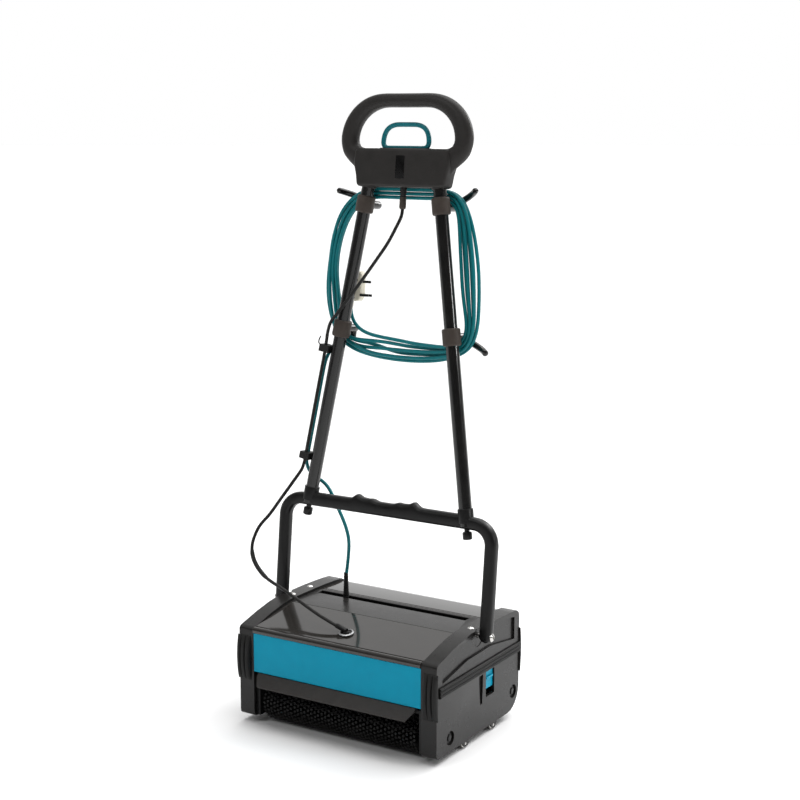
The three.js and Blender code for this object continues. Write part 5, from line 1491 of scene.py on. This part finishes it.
# ---------------------------------------------------------------- studio
@dataclass
class Studio:
    """The floor, the lights and the camera."""

    floor_radius: float = 60.0
    camera_at: Triple = (1.56775, -2.45847, 1.15419)
    camera_turn: Triple = (79.767, 0.0, 31.771)
    lens: float = 70.80
    aim: Triple = (0.0, 0.03, 0.55)
    floor_colour: float = 0.93
    glow_way: Triple = (-0.50, 0.82, 0.20)

    # The soft lights: name, place, size and power.
    LIGHTS = (
        ("key", (-0.9, -2.4, 3.0), 1.2, 20.0), ("side", (2.7, 0.5, 1.3), 0.35, 12.0),
        ("back", (0.6, 2.4, 1.9), 0.9, 20.0),
    )

    def floor(self) -> None:
        """A plain pale floor, which isn't part of the machine."""
        turn = 2 * np.pi * np.arange(64) / 64
        rim = np.column_stack([np.cos(turn), np.sin(turn), np.zeros(64)]) * self.floor_radius
        mesh = bpy.data.meshes.new("floor")
        mesh.from_pydata(rim.tolist(), [], [tuple(range(64))])
        floor = bpy.data.objects.new("floor", mesh)
        bpy.context.scene.collection.objects.link(floor)
        material = bpy.data.materials.new("floor_pale")
        material.use_nodes = True
        shader = material.node_tree.nodes["Principled BSDF"]
        shader.inputs["Base Color"].default_value = (*[self.floor_colour] * 3, 1.0)
        shader.inputs["Roughness"].default_value = 0.75
        shader.inputs["Specular IOR Level"].default_value = 0.15
        mesh.materials.append(material)

    def area(self, name: str, at: Triple, size: float, power: float) -> None:
        """A square soft light that faces the middle of the machine."""
        data = bpy.data.lights.new(name, "AREA")
        data.shape, data.size, data.energy = "SQUARE", size, power
        light = bpy.data.objects.new(name, data)
        light.location = at
        aim = np.array(self.aim) - np.array(at)
        flat = math.hypot(aim[0], aim[1])
        light.rotation_euler = (math.atan2(flat, -aim[2]), 0.0, math.atan2(-aim[0], aim[1]))
        bpy.context.scene.collection.objects.link(light)

    def world(self) -> None:
        """A pale surround: white to look at, bright behind the machine and dimmer in front of it."""
        world = bpy.data.worlds.new("studio")
        bpy.context.scene.world = world
        world.use_nodes = True
        tree = world.node_tree
        lit, seen = tree.nodes["Background"], tree.nodes.new("ShaderNodeBackground")
        seen.inputs["Color"].default_value = (1.0, 1.0, 1.0, 1.0)
        seen.inputs["Strength"].default_value = 1.0
        place = tree.nodes.new("ShaderNodeTexCoord")
        toward = tree.nodes.new("ShaderNodeVectorMath")
        toward.operation = "DOT_PRODUCT"
        toward.inputs[1].default_value = self.glow_way
        tree.links.new(place.outputs["Generated"], toward.inputs[0])
        glow = tree.nodes.new("ShaderNodeMapRange")
        for word, value in (("From Min", -0.2), ("From Max", 0.8), ("To Min", 0.10), ("To Max", 0.85)):
            glow.inputs[word].default_value = value
        tree.links.new(toward.outputs["Value"], glow.inputs["Value"])
        tree.links.new(glow.outputs[0], lit.inputs["Strength"])
        lit.inputs["Color"].default_value = (1.0, 1.0, 1.0, 1.0)
        mix, rays = tree.nodes.new("ShaderNodeMixShader"), tree.nodes.new("ShaderNodeLightPath")
        tree.links.new(rays.outputs["Is Camera Ray"], mix.inputs[0])
        tree.links.new(lit.outputs[0], mix.inputs[1])
        tree.links.new(seen.outputs[0], mix.inputs[2])
        tree.links.new(mix.outputs[0], tree.nodes["World Output"].inputs["Surface"])

    def build(self) -> None:
        """Makes the floor, the lights, the surround and the camera."""
        self.floor()
        self.world()
        data = bpy.data.lights.new("overhead", "SUN")
        data.energy, data.angle = 2.9, math.radians(70.0)
        sun = bpy.data.objects.new("overhead", data)
        sun.rotation_euler = (math.radians(-14.0), math.radians(10.0), 0.0)
        bpy.context.scene.collection.objects.link(sun)
        for light in self.LIGHTS:
            self.area(*light)
        scene = bpy.context.scene
        scene.view_settings.view_transform = "Standard"
        lens = bpy.data.cameras.new("camera")
        lens.lens, lens.sensor_width = self.lens, 36.0
        camera = bpy.data.objects.new("camera", lens)
        camera.location = self.camera_at
        camera.rotation_euler = tuple(math.radians(a) for a in self.camera_turn)
        scene.collection.objects.link(camera)
        scene.camera = camera


def main() -> None:
    """Builds the studio and each part of the machine in order."""
    logging.basicConfig(level=logging.INFO, format="%(name)s: %(message)s")
    Studio().build()
    for part in (Cords(), Stand(), Grip(), BaseShell(), Brushes()):
        LOG.info("building %s", type(part).__name__)
        part.build()


if __name__ == "__main__":
    main()
